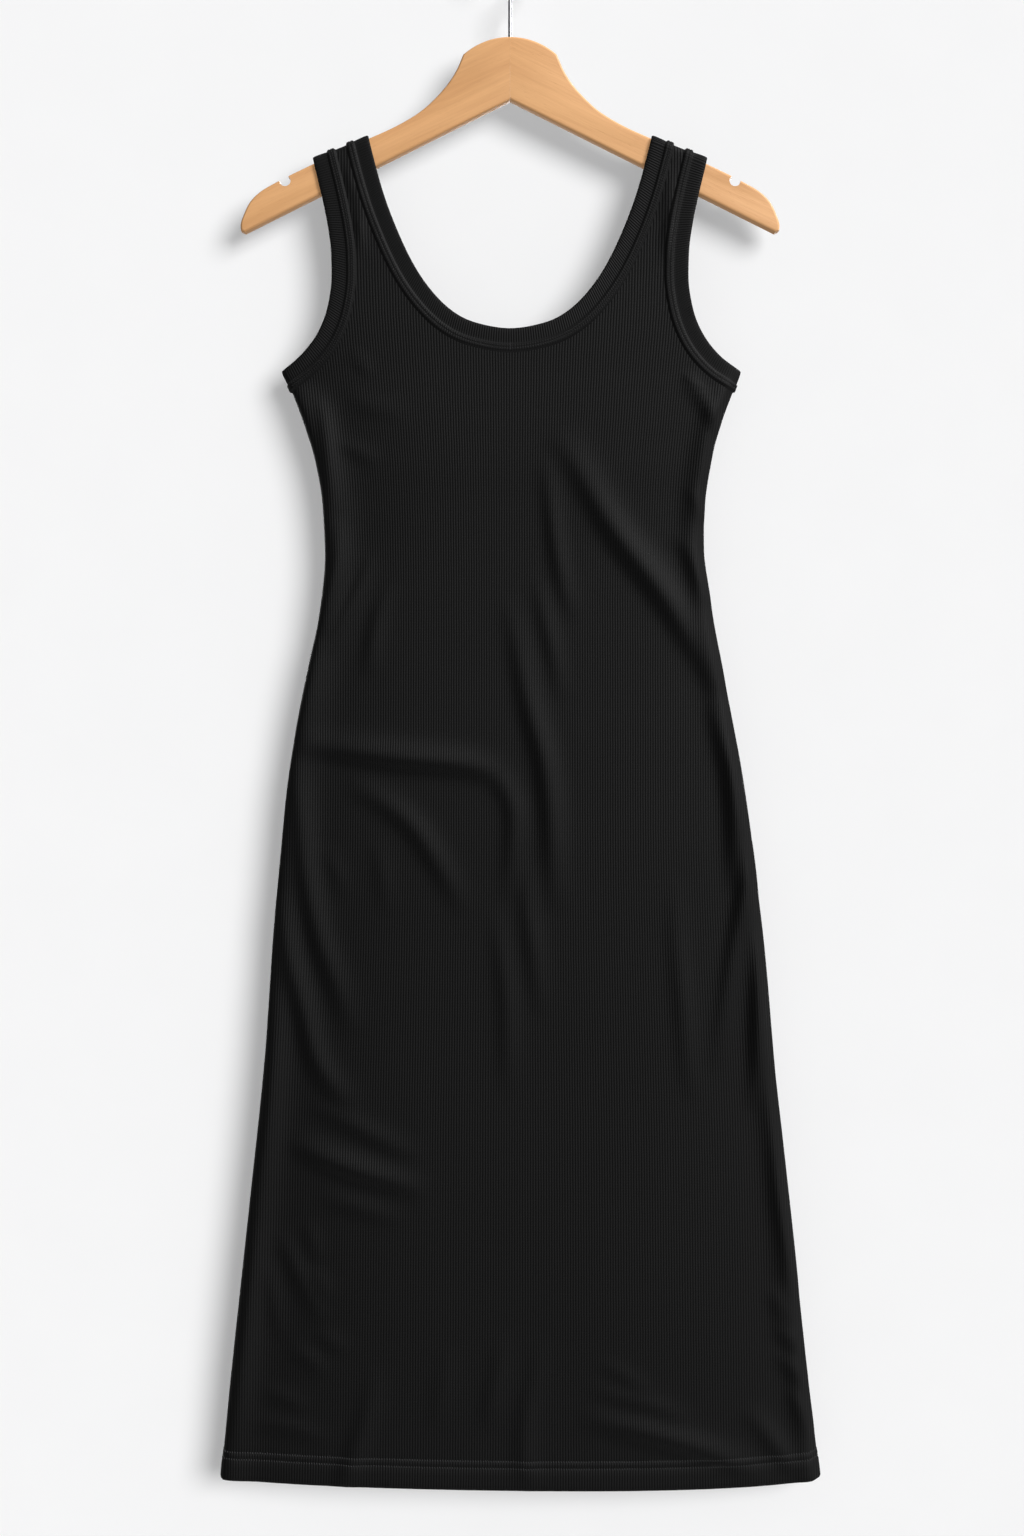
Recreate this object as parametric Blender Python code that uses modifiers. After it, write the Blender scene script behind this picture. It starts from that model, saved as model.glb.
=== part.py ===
"""A sleeveless rib-knit midi dress that hangs on a wooden hanger.

The tables and sizes are in millimetres, and MM turns them into metres where a
mesh is made. +Z is up, -Y is the front and +X is the viewer's right. The origin
is the inner top of the hook, where the hanger sits on a rail.

A point of the cloth is given by two coordinates. s runs round the section, from
-1 at the left side seam over 0 at the centre line to 1 at the right side seam.
q is the height along the cloth: the height above the origin as far up as the
shoulder, and from there on the way over the hanger.
"""

import math

import bmesh
import bpy
import numpy as np
from mathutils import Vector

MM = 0.001
SHARP_ANGLE = math.radians(50)  # edges sharper than this aren't shaded smooth

SEAM_GAP = 0.3  # between neighbouring pieces
CLOTH = 1.4  # wall of the rib knit
FRONT, BACK = -1, 1
LEFT, RIGHT = -1, 1

# Half-widths of the hanging dress to each side of the hook, and half its depth.
SECTION_COLUMNS = ("z", "left", "right", "depth")
SECTIONS = (
    (-1268.0, 239.2, 256.6, 21.0),
    (-1163.0, 228.7, 244.3, 20.0),
    (-1040.0, 215.5, 231.2, 19.0),
    (-916.0, 202.4, 218.0, 18.0),
    (-818.0, 195.8, 208.9, 17.5),
    (-744.0, 189.2, 200.7, 17.0),
    (-694.0, 184.3, 193.3, 16.0),
    (-645.0, 176.9, 185.1, 15.0),
    (-596.0, 167.0, 176.0, 13.5),
    (-546.0, 157.1, 167.0, 12.5),
    (-497.0, 153.0, 160.4, 12.0),
    (-460.0, 155.0, 160.8, 12.5),
    (-423.0, 161.2, 166.2, 13.5),
    (-398.0, 168.6, 172.7, 13.5),
    (-367.0, 180.0, 184.0, 13.0),
    (-350.0, 187.5, 189.5, 12.5),
    (-300.0, 198.0, 198.0, 12.0),
    (-140.0, 204.0, 204.0, 10.0),
)
SIDE_ROUNDING = 3.0  # power of the section's superellipse
SIDE_CROWDING = 0.15  # how far the columns of points crowd towards the side seams
CROWDING_POWER = (1 + SIDE_CROWDING) / SIDE_CROWDING

HEM_SIDE_Z = -1257.5
HEM_CENTRE_Z = -1264.6
HEM_SKEW = 0.22  # how far the hem's lowest place lies to the right of the centre line
HEM_TURN = 23.0  # height of the turned-up hem
HEM_RAMP = 1.0  # height over which the doubled wall thins to a single one
HEM_STEP = 0.8  # the doubled cloth stands this far out
HEM_WALL = 2.8
UNDERARM_Z = -350.0
UNDERARM_SEAM_Z = -367.0

# Free edges of the neck and armhole, up to where the strap turns over: half-width and height.
NECK_EDGE = (
    (0.0, -316.6),
    (31.5, -310.8),
    (49.0, -300.9),
    (67.9, -280.8),
    (80.5, -260.9),
    (94.1, -231.2),
    (102.7, -208.2),
    (108.5, -188.5),
    (114.8, -164.0),
    (118.4, -150.0),
)
ARMHOLE_EDGE = (
    (172.7, -338.5),
    (157.6, -319.5),
    (149.8, -299.8),
    (146.1, -274.0),
    (146.5, -254.1),
    (149.4, -231.2),
    (153.4, -211.3),
    (157.6, -193.4),
    (161.6, -177.3),
    (164.6, -165.0),
)
BAND_WIDTH = 19.0
NECK_OVERLAP = 3  # neck places that are mirrored, so that the line is level at the centre
EDGE_POINTS = 240  # points of a dense edge line
EDGE_SMOOTHING = 15  # points over which it is averaged
UNDERARM_CROWDING = 1.3  # power by which an armhole's places crowd towards the underarm
UNDERARM_EASE = 0.2  # share of an armhole's line that is drawn to the side seam
STRAP_LEAN = 0.2  # how far a strap's edge runs outwards for each unit that it rises

# The section of a band: the way from its free edge to its seam, and the height over the panel.
BAND_COLUMNS = ("across", "height")
BAND_SECTION = (
    (0.0, -0.1),
    (0.7, 1.0),
    (2.2, 1.3),
    (12.8, 1.2),
    (13.6, 0.5),
    (14.4, 1.5),
    (17.0, 1.7),
    (18.9, 0.9),
    (18.9, -1.4),
    (0.8, -1.4),
)

# The strap turns over the hanger along a flat-topped curve.
SHOULDER_IN = (118.0, -158.6)  # half-width and height of the strap's crown
SHOULDER_OUT = (163.0, -176.9)
SHOULDER_SLOPE = (SHOULDER_OUT[1] - SHOULDER_IN[1]) / (SHOULDER_OUT[0] - SHOULDER_IN[0])
STRAP_DEPTH = 9.6
STRAP_FULL_Z = -215.0  # the strap has its own depth above this height
STRAP_START_Z = -330.0  # and the chest's depth below this one
TURN_RISE = 8.0
TURN_LENGTH = 14.7  # way along the cloth from the front to the shoulder seam
TURN_POWER = 3.0

# Folds: the height of the ridge, its half-width, the part of its length at which it is
# highest, and places along its crest.
FOLD_COLUMNS = ("height", "width", "peak", "crest")
FRONT_FOLDS = (
    (6.5, 13, 0.55, ((34, -398), (84, -480), (129, -540), (174, -616))),
    (5.0, 12, 0.55, ((164, -618), (181, -680), (184, -778))),
    (3.0, 11, 0.55, ((28, -420), (38, -500), (52, -556))),
    (5.0, 12, 0.6, ((-4, -535), (14, -620), (33, -720), (36, -795))),
    (6.5, 13, 0.5, ((-178, -656), (-90, -668), (-14, -681), (-1, -699))),
    (3.6, 11, 0.3, ((-13, -682), (3, -718), (-2, -785))),
    (3.5, 12, 0.5, ((-136, -688), (-80, -724), (-36, -796))),
    (4.5, 12, 0.55, ((-177, -664), (-167, -760), (-142, -855), (-128, -896))),
    (4.5, 12, 0.6, ((-188, -776), (-170, -870), (-147, -934), (-124, -956))),
    (5.0, 12, 0.45, ((-182, -978), (-130, -1003), (-66, -1022))),
    (2.6, 11, 0.55, ((134, -764), (140, -865), (150, -952))),
    (4.8, 12, 0.35, ((198, -734), (187, -802), (168, -925))),
    (4.0, 12, 0.5, ((54, -1203), (120, -1220), (206, -1260))),
    (3.0, 12, 0.8, ((-110, -1160), (-124, -1226), (-138, -1266))),
)
BACK_FOLDS = (
    (5.5, 14, 0.5, ((-40, -410), (-100, -524), (-142, -588), (-166, -640))),
    (4.2, 13, 0.5, ((-160, -640), (-178, -740), (-178, -800))),
    (3.2, 13, 0.5, ((12, -464), (-2, -580), (-12, -660))),
    (6.0, 14, 0.5, ((172, -664), (84, -680), (22, -722), (16, -776))),
    (3.6, 13, 0.45, ((128, -700), (70, -736), (40, -806))),
    (3.6, 13, 0.5, ((-18, -752), (-26, -860), (-18, -972))),
    (4.6, 13, 0.5, ((182, -700), (160, -816), (120, -908))),
    (4.2, 13, 0.5, ((-184, -820), (-156, -930), (-132, -970))),
    (4.2, 13, 0.5, ((66, -996), (140, -1028), (180, -1052))),
    (3.0, 13, 0.8, ((-88, -1146), (-102, -1226), (-112, -1266))),
    (3.0, 13, 0.8, ((98, -1150), (108, -1230), (120, -1266))),
)
FOLD_STEPS = 10  # straight steps between two places of a crest
FOLD_TAPER = 1.0  # power of the rise from a fold's ends to its peak
FOLD_FADE = 0.08  # share of the half section beside a side seam that takes no fold

# Rows of points from the hem to the underarm: the height at which a zone ends, and its rows.
FRONT_ZONES = (
    (-1200.0, 3),
    (-1030.0, 6),
    (-950.0, 6),
    (-700.0, 9),
    (-640.0, 5),
    (-590.0, 2),
    (-410.0, 9),
    (-367.0, 2),
)
BACK_ZONES = (
    (-1180.0, 2),
    (-1060.0, 3),
    (-990.0, 4),
    (-720.0, 7),
    (-650.0, 5),
    (-590.0, 2),
    (-420.0, 6),
    (-367.0, 2),
)
CENTRE_OVER_SIDE = 14.0  # how much higher the top body row lies at the centre line
UNDERARM_ROWS = 3  # from the underarm up to the row that meets the neck seam
STRAP_ROWS = 13  # from there to the foot of the turn
TURN_ROWS = 4
FRONT_COLUMNS = 20  # to each side of the centre line
BACK_COLUMNS = 12
HALVED_AT = (1, 6)  # rows above the neck seam at which the columns are halved

# The wooden hanger: the outline of one arm, from the mitre round the head to the tip.
ARM_THICKNESS = 12.0
ARM_EDGE = 2.4
HEAD_RADIUS = 58.0
HEAD_TOP_Z = -76.0
HEAD_SPAN = 38.5  # half-width of the round head
HEAD_PLACES = 6  # places along the head's arc
FLANK = (
    (43.8, -103.0),
    (50.6, -114.0),
    (60.0, -125.0),
    (72.5, -136.5),
    (86.5, -145.5),
    (98.0, -151.5),
)
ARM_TOP = ((114.5, -158.9), (196.0, -197.6))
TIP = (
    (205.6, -203.6),
    (213.4, -211.5),
    (218.4, -221.5),
    (221.2, -231.0),
    (220.8, -235.0),
)
ARM_FOOT = (217.5, -236.2)
APEX_Z = -127.3  # underside at the mitre
NOTCH_PLACE = (184.6, -194.2)
NOTCH_RADIUS = 4.6

WIRE = 3.4
STEM_DEPTH = 22.0
STEM_BORE_GAP = 0.3
HOOK_INNER_RADIUS = 19.0
HOOK_RADIUS = HOOK_INNER_RADIUS + WIRE / 2
BEND_START_Z = -46.0
HOOK_FROM, HOOK_TO = math.radians(-50), math.radians(200)
HOOK_STEPS = 22
BEND_STEPS = 6

PALETTE = {
    "black_rib_knit": ((0.012, 0.012, 0.013), 0.9, 0.0),
    "black_rib_binding": ((0.010, 0.010, 0.011), 0.9, 0.0),
    "beech": ((0.76, 0.44, 0.21), 0.5, 0.0),
    "steel_wire": ((0.55, 0.56, 0.58), 0.3, 1.0),
}


def named(columns, rows):
    """A dictionary of arrays, one for each named column of a table."""
    return dict(zip(columns, np.array(rows, float).T))


def smooth_curve(places, values, at):
    """A curve through values given at increasing places, with no overshoot between them."""
    places, values, at = (np.asarray(a, float) for a in (places, values, at))
    steps = np.diff(places)
    slopes = np.diff(values) / steps
    tangents = np.zeros_like(values)
    tangents[0], tangents[-1] = slopes[0], slopes[-1]
    same_way = slopes[:-1] * slopes[1:] > 0
    mean = 2 * slopes[:-1] * slopes[1:] / np.where(same_way, slopes[:-1] + slopes[1:], 1)
    tangents[1:-1] = np.where(same_way, mean, 0)
    i = np.clip(np.searchsorted(places, at) - 1, 0, len(steps) - 1)
    t = np.clip((at - places[i]) / steps[i], 0, 1)
    return (
        values[i] * (1 + 2 * t) * (1 - t) ** 2
        + tangents[i] * steps[i] * t * (1 - t) ** 2
        + values[i + 1] * t * t * (3 - 2 * t)
        + tangents[i + 1] * steps[i] * t * t * (t - 1)
    )


def smoothstep(value, low, high):
    t = np.clip((value - low) / (high - low), 0, 1)
    return t * t * (3 - 2 * t)


SECTION = named(SECTION_COLUMNS, SECTIONS)


def half_width(z):
    mean = (SECTION["left"] + SECTION["right"]) / 2
    return smooth_curve(SECTION["z"], mean, z)


def centre_x(z):
    shift = (SECTION["right"] - SECTION["left"]) / 2
    return smooth_curve(SECTION["z"], shift, z)


def share_of_width(s):
    """x over the half-width at s, in columns that crowd towards the side seams."""
    way = np.abs(s)
    return np.sign(s) * ((1 + SIDE_CROWDING) * way - SIDE_CROWDING * way**CROWDING_POWER)


def place_of_share(share):
    way = np.linspace(0, 1, 2001)
    return np.sign(share) * np.interp(np.abs(share), share_of_width(way), way)


def crown_z(x):
    """Height of the cloth over the hanger."""
    return SHOULDER_IN[1] + SHOULDER_SLOPE * (np.abs(x) - SHOULDER_IN[0])


def fold_height(x, z, folds):
    """How far the folds stand out at each place: every fold is a soft ridge on its line."""
    height = np.zeros(x.shape)
    for row in folds:
        fold = dict(zip(FOLD_COLUMNS, row))
        steps = FOLD_STEPS * (len(fold["crest"]) - 1)
        line_x, line_z = smooth_line(fold["crest"], steps + 1).T
        run_x, run_z = np.diff(line_x), np.diff(line_z)
        from_x, from_z = x[..., None] - line_x[:-1], z[..., None] - line_z[:-1]
        along = (from_x * run_x + from_z * run_z) / (run_x**2 + run_z**2)
        along = np.clip(along, 0, 1)
        off = (from_x - along * run_x) ** 2 + (from_z - along * run_z) ** 2
        near = off.argmin(axis=-1)[..., None]
        distance = np.take_along_axis(off, near, -1)[..., 0]
        way = (near + np.take_along_axis(along, near, -1))[..., 0] / len(run_x)
        peak = fold["peak"]
        rise = np.where(way < peak, way / peak, (1 - way) / (1 - peak))
        lift = np.sin(np.clip(rise, 0, 1) * math.pi / 2) ** FOLD_TAPER
        height += fold["height"] * lift * np.exp(-distance / fold["width"] ** 2)
    return height


def cloth_points(s, q, face):
    """Points of the cloth's outer face, in millimetres."""
    folds = FRONT_FOLDS if face == FRONT else BACK_FOLDS
    width, share = half_width(q), share_of_width(s)
    x = centre_x(q) + share * width
    foot = crown_z(x) - TURN_RISE
    z = np.minimum(q, foot)
    turn = np.clip((q - foot) / TURN_LENGTH, 0, 1) * math.pi / 2
    chest = smooth_curve(SECTION["z"], SECTION["depth"], z)
    chest = chest * np.sqrt(np.maximum(1 - np.abs(share) ** SIDE_ROUNDING, 0))
    strap = smoothstep(z, STRAP_START_Z, STRAP_FULL_Z)
    depth = chest + (STRAP_DEPTH - chest) * strap
    depth = depth + fold_height(x, z, folds) * smoothstep(1 - np.abs(s), 0, FOLD_FADE)
    seam_y = SEAM_GAP / 2
    depth = seam_y + (depth - seam_y) * np.cos(turn) ** (2 / TURN_POWER)
    rise = TURN_RISE * np.sin(turn) ** (2 / TURN_POWER)
    x = x + np.sign(s) * STRAP_LEAN * rise
    return np.stack([x, face * np.maximum(depth, seam_y), z + rise], axis=-1)


def cloth_normals(s, q, face):
    """Unit vectors out of the cloth, worked out between two points close by."""
    step_s, step_q = 1e-3, 0.2
    low, high = np.clip(s - step_s, -1, 1), np.clip(s + step_s, -1, 1)
    round_way = cloth_points(high, q, face) - cloth_points(low, q, face)
    up_way = cloth_points(s, q + step_q, face) - cloth_points(s, q - step_q, face)
    out = np.cross(round_way, up_way) * -face
    return out / np.linalg.norm(out, axis=-1, keepdims=True)


def layer(s, q, face, height):
    """Points of the cloth at a height over its outer face."""
    s, q = np.asarray(s, float), np.asarray(q, float)
    height = np.asarray(height, float)[..., None]
    points = cloth_points(s, q, face) + height * cloth_normals(s, q, face)
    seam = face * SEAM_GAP / 2
    points[..., 1] = face * np.maximum(face * points[..., 1], face * seam)
    on_seam = (np.abs(s) >= 1) | (q >= crown_z(points[..., 0]) - TURN_RISE + TURN_LENGTH)
    points[on_seam, 1] = seam
    return points


def way_along(line):
    """The way from a line's start to each of its points."""
    steps = np.linalg.norm(np.diff(line, axis=0), axis=1)
    return np.concatenate([[0], np.cumsum(steps)])


def spread(line, count, crowding):
    """Places along a line, even where crowding is 1 and nearer its start above that."""
    way = way_along(line)
    places = way[-1] * np.linspace(0, 1, count) ** crowding
    return np.stack([np.interp(places, way, line[:, k]) for k in range(2)], axis=1)


def smooth_line(places, count):
    """Evenly spaced points on a smooth line through places."""
    places = np.array(places, float)
    way = way_along(places)
    fine = np.linspace(0, way[-1], count)
    return np.stack([smooth_curve(way, places[:, k], fine) for k in range(2)], axis=1)


def edge_line(places):
    """A dense smooth line through edge places, its corners averaged away."""
    line = smooth_line(places, EDGE_POINTS)
    kernel, skipped = np.ones(EDGE_SMOOTHING) / EDGE_SMOOTHING, EDGE_SMOOTHING // 2
    inner = [np.convolve(line[:, k], kernel, "valid") for k in range(2)]
    line[skipped:-skipped] = np.stack(inner, axis=1)
    return line


def moved_in(line, width, towards_centre):
    """The line at a constant way into the cloth."""
    tangent = np.gradient(line, axis=0)
    tangent /= np.linalg.norm(tangent, axis=1, keepdims=True)
    normal = np.stack([tangent[:, 1], -tangent[:, 0]], axis=1) * (-1 if towards_centre else 1)
    return line + width * normal


def to_the_turn(line, count, crowding=1.0):
    """Places along a line as far as the foot of the strap's turn."""
    over = line[:, 1] - (crown_z(line[:, 0]) - TURN_RISE)
    last = int(np.argmax(over > 0))
    share = -over[last - 1] / (over[last] - over[last - 1])
    foot = line[last - 1] + share * (line[last] - line[last - 1])
    return spread(np.vstack([line[:last], foot]), count, crowding)


def over_the_turn(line):
    """The line with the rows that lie over the hanger added."""
    x, z = line[-1]
    turn = [(x, z + TURN_LENGTH * k / TURN_ROWS) for k in range(1, TURN_ROWS + 1)]
    return np.vstack([line, turn])


def coordinates(line, side):
    """s and q of places given as half-width and height."""
    z = np.minimum(line[:, 1], crown_z(line[:, 0]) - TURN_RISE)
    share = (line[:, 0] - side * centre_x(z)) / half_width(z)
    return np.stack([side * place_of_share(np.clip(share, 0, 1)), line[:, 1]], axis=1)


def neck_line(width, side):
    """s and q along the neck at a way in from its free edge, from the centre line up."""
    past_centre = [(-x, z) for x, z in NECK_EDGE[NECK_OVERLAP:0:-1]]
    line = moved_in(edge_line((*past_centre, *NECK_EDGE)), width, towards_centre=False)
    line = line[line[:, 0] >= 0]
    line[0, 0] = 0
    return coordinates(over_the_turn(to_the_turn(line, STRAP_ROWS + 1)), side)


def side_place(z, side):
    """Half-width and height of a place on a side seam."""
    return float(half_width(z) + side * centre_x(z)), z


def armhole_line(width, side):
    """s and q along the armhole at a way in from its free edge, from the side seam up."""
    start_z = UNDERARM_Z + (UNDERARM_SEAM_Z - UNDERARM_Z) * width / BAND_WIDTH
    line = edge_line((side_place(UNDERARM_Z, side), *ARMHOLE_EDGE))
    line = moved_in(line, width, towards_centre=True)
    ease = np.clip(1 - np.linspace(0, 1 / UNDERARM_EASE, len(line)), 0, 1)[:, None] ** 2
    line = line + ease * (np.array(side_place(start_z, side)) - line[0])
    line = to_the_turn(line, UNDERARM_ROWS + STRAP_ROWS + 1, UNDERARM_CROWDING)
    line = coordinates(over_the_turn(line), side)
    line[0] = side, start_z
    return line


def body_rows(zones, columns):
    """Rows of s, q and two wall heights, from the hem to the underarm."""
    doubled_to = HEM_SIDE_Z + HEM_TURN - HEM_RAMP
    side_z = [HEM_SIDE_Z, doubled_to, HEM_SIDE_Z + HEM_TURN]
    for top_z, rows in zones:
        bottom_z = side_z[-1]
        side_z += [bottom_z + (top_z - bottom_z) * k / rows for k in range(1, rows + 1)]
    side_z[-1] = UNDERARM_SEAM_Z - SEAM_GAP
    s = np.linspace(-1, 1, 2 * columns + 1)
    top_way = UNDERARM_SEAM_Z - HEM_SIDE_Z
    found = []
    for z in side_z:
        way = (z - HEM_SIDE_Z) / top_way
        drop = (HEM_CENTRE_Z - HEM_SIDE_Z) * (1 - way) + CENTRE_OVER_SIDE * way
        across = s - HEM_SKEW * (1 - way) * (1 - s * s)
        outer = HEM_STEP if z <= doubled_to else 0
        inner = HEM_STEP - HEM_WALL if z <= doubled_to else -CLOTH
        found.append((s, z + drop * (1 - across**2), outer, inner))
    return found


class Wall:
    """A sheet of cloth with an outer and an inner face, sewn up from rows of points."""

    def __init__(self, face):
        self.face, self.outer, self.inner, self.faces = face, [], [], []
        self.count = 0

    def row(self, s, q, outer=0.0, inner=-CLOTH):
        self.outer.append(layer(s, q, self.face, np.full(len(s), outer)))
        self.inner.append(layer(s, q, self.face, np.full(len(s), inner)))
        self.count += len(s)
        return list(range(self.count - len(s), self.count))

    def join(self, lower, upper):
        """Faces between two rows, of which the upper may have half the columns."""
        joined = (len(lower) - 1) // (len(upper) - 1)
        for k in range(len(upper) - 1):
            under = lower[k * joined : (k + 1) * joined + 1]
            self.faces.append([*under, upper[k + 1], upper[k]])

    def mesh(self, name):
        faces = self.faces if self.face == FRONT else [f[::-1] for f in self.faces]
        edges = {(a, b) for f in faces for a, b in zip(f, f[1:] + f[:1])}
        rim = [(a, b) for a, b in edges if (b, a) not in edges]
        n = self.count
        inside = [[v + n for v in reversed(f)] for f in faces]
        walls = [[b, a, a + n, b + n] for a, b in sorted(rim)]
        points = np.vstack(self.outer + self.inner) * MM
        return mesh_from(name, points, faces + inside + walls)


def mesh_from(name, points, faces):
    mesh = bpy.data.meshes.new(name)
    mesh.from_pydata([tuple(p) for p in points], [], faces)
    mesh.validate()
    mesh.shade_smooth()
    mesh.set_sharp_from_angle(angle=SHARP_ANGLE)
    return mesh


def blended(inner_end, outer_end, columns):
    """A row of s and q between a place on the neck seam and one on the armhole seam."""
    t = np.linspace(0, 1, columns + 1)
    return [inner_end[k] + (outer_end[k] - inner_end[k]) * t for k in range(2)]


def panel(name, face, zones, columns):
    """A front or back, cut in one from the hem to both shoulders."""
    wall = Wall(face)
    below = None
    for s, q, outer, inner in body_rows(zones, columns):
        row = wall.row(s, q, outer, inner)
        if below:
            wall.join(below, row)
        below = row
    edge = BAND_WIDTH + SEAM_GAP
    neck = {side: neck_line(edge, side) for side in (LEFT, RIGHT)}
    armhole = {side: armhole_line(edge, side) for side in (LEFT, RIGHT)}
    centre_from = UNDERARM_SEAM_Z + CENTRE_OVER_SIDE
    for k in range(1, UNDERARM_ROWS + 1):
        centre_q = centre_from + (neck[RIGHT][0, 1] - centre_from) * k / UNDERARM_ROWS
        t = np.linspace(0, 1, columns + 1)
        bow = 2 - k / UNDERARM_ROWS  # the rows straighten towards the neck
        halves = []
        for side in (LEFT, RIGHT):
            end = armhole[side][k]
            halves.append((end[0] * t, centre_q + (end[1] - centre_q) * t**bow))
        s = np.concatenate([halves[0][0][::-1], halves[1][0][1:]])
        q = np.concatenate([halves[0][1][::-1], halves[1][1][1:]])
        row = wall.row(s, q)
        wall.join(below, row)
        below = row
    middle = len(below) // 2
    for side in (LEFT, RIGHT):
        last = below[: middle + 1] if side == LEFT else below[middle:]
        across = columns
        for k in range(1, STRAP_ROWS + TURN_ROWS + 1):
            if k in HALVED_AT:
                across //= 2
            s, q = blended(neck[side][k], armhole[side][UNDERARM_ROWS + k], across)
            if side == LEFT:
                s, q = s[::-1], q[::-1]
            row = wall.row(s, q)
            wall.join(last, row)
            last = row
    return new_object(name, wall.mesh(name), "black_rib_knit")


def band(name, face, free, seam):
    """A binding: its section swept along the way between its free edge and its seam."""
    section = named(BAND_COLUMNS, BAND_SECTION)
    across = section["across"] / BAND_WIDTH
    s = free[:, :1] + (seam[:, :1] - free[:, :1]) * across
    q = free[:, 1:] + (seam[:, 1:] - free[:, 1:]) * across
    points = layer(s, q, face, np.broadcast_to(section["height"], s.shape))
    stations, around = s.shape
    faces = []
    for i in range(stations - 1):
        for k in range(around):
            a, b = i * around + k, i * around + (k + 1) % around
            faces.append([a, b, b + around, a + around])
    faces.append(list(range(around))[::-1])
    faces.append([(stations - 1) * around + k for k in range(around)])
    mesh = mesh_from(name, points.reshape(-1, 3) * MM, faces)
    turn_outwards(mesh)
    return new_object(name, mesh, "black_rib_binding")


def turn_outwards(mesh):
    shape = bmesh.new()
    shape.from_mesh(mesh)
    bmesh.ops.recalc_face_normals(shape, faces=shape.faces)
    if shape.calc_volume(signed=True) < 0:
        bmesh.ops.reverse_faces(shape, faces=shape.faces)
    shape.to_mesh(mesh)
    shape.free()


def neck_band(name, face):
    edges = []
    for width in (0, BAND_WIDTH):
        left, right = neck_line(width, LEFT), neck_line(width, RIGHT)
        edges.append(np.vstack([left[:0:-1], right]))
    return band(name, face, *edges)


def armhole_band(name, face, side):
    return band(name, face, armhole_line(0, side), armhole_line(BAND_WIDTH, side))


def arm_outline():
    """Half-widths and heights round one hanger arm, from the mitre's top to its foot."""
    mitre_x = SEAM_GAP / 2
    angles = np.linspace(0, math.asin(HEAD_SPAN / HEAD_RADIUS), HEAD_PLACES)
    centre_z = HEAD_TOP_Z - HEAD_RADIUS
    head = [
        (max(HEAD_RADIUS * math.sin(a), mitre_x), centre_z + HEAD_RADIUS * math.cos(a))
        for a in angles
    ]
    return [*head, *FLANK, *ARM_TOP, *TIP, ARM_FOOT, (mitre_x, APEX_Z)]


def cylinder(name, radius, length, place, turn):
    """A round cutter, hidden in renders."""
    bpy.ops.mesh.primitive_cylinder_add(
        vertices=24, radius=radius * MM, depth=length * MM, location=Vector(place) * MM,
        rotation=turn,
    )
    cutter = bpy.context.object
    cutter.name = name
    cutter.hide_render = True
    cutter.display_type = "WIRE"
    move_to(cutter, "cutters")
    return cutter


def hanger_arm(name, side, stem_cutter):
    """One arm: its outline given its thickness, rounded edges, a strap notch and the stem's bore."""
    shape = bmesh.new()
    corners = [
        shape.verts.new((side * x * MM, -ARM_THICKNESS / 2 * MM, z * MM))
        for x, z in arm_outline()
    ]
    front = shape.faces.new(corners)
    made = bmesh.ops.extrude_face_region(shape, geom=[front])["geom"]
    moved = [v for v in made if isinstance(v, bmesh.types.BMVert)]
    bmesh.ops.translate(shape, verts=moved, vec=(0, ARM_THICKNESS * MM, 0))
    bmesh.ops.recalc_face_normals(shape, faces=shape.faces)
    mesh = bpy.data.meshes.new(name)
    shape.to_mesh(mesh)
    shape.free()
    arm = new_object(name, mesh, "beech")
    rounding = arm.modifiers.new("rounded edges", "BEVEL")
    rounding.width = ARM_EDGE * MM
    rounding.segments = 2
    rounding.limit_method = "ANGLE"
    rounding.angle_limit = math.radians(60)
    notch = cylinder(
        f"{name}_notch", NOTCH_RADIUS, 2 * ARM_THICKNESS,
        (side * NOTCH_PLACE[0], 0, NOTCH_PLACE[1]), (math.pi / 2, 0, 0),
    )
    for cutter in (notch, stem_cutter):
        cut = arm.modifiers.new(cutter.name, "BOOLEAN")
        cut.operation = "DIFFERENCE"
        cut.object = cutter
    return arm


def hook():
    """Bent wire: a straight stem, a bend to one side, and a round hook over the rail."""
    foot_z = HEAD_TOP_Z - STEM_DEPTH
    centre_z = -HOOK_INNER_RADIUS
    join = Vector((HOOK_RADIUS * math.cos(HOOK_FROM), centre_z + HOOK_RADIUS * math.sin(HOOK_FROM)))
    heading = Vector((-math.sin(HOOK_FROM), math.cos(HOOK_FROM)))
    start = Vector((0, BEND_START_Z))
    pull = (join - start).length / 3
    ends = (start, start + Vector((0, pull)), join - heading * pull, join)
    way = [(0, foot_z), (0, HEAD_TOP_Z)]
    for k in range(BEND_STEPS):
        t = k / BEND_STEPS
        weights = ((1 - t) ** 3, 3 * t * (1 - t) ** 2, 3 * t * t * (1 - t), t**3)
        way.append(sum((w * p for w, p in zip(weights, ends)), Vector((0, 0))))
    for k in range(HOOK_STEPS + 1):
        a = HOOK_FROM + (HOOK_TO - HOOK_FROM) * k / HOOK_STEPS
        way.append((HOOK_RADIUS * math.cos(a), centre_z + HOOK_RADIUS * math.sin(a)))
    curve = bpy.data.curves.new("hanger_hook", "CURVE")
    curve.dimensions = "3D"
    curve.bevel_depth = WIRE / 2 * MM
    curve.bevel_resolution = 2
    curve.use_fill_caps = True
    line = curve.splines.new("POLY")
    line.points.add(len(way) - 1)
    for point, (x, z) in zip(line.points, way):
        point.co = (x * MM, 0, z * MM, 1)
    return new_object("hanger_hook", curve, "steel_wire")


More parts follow.
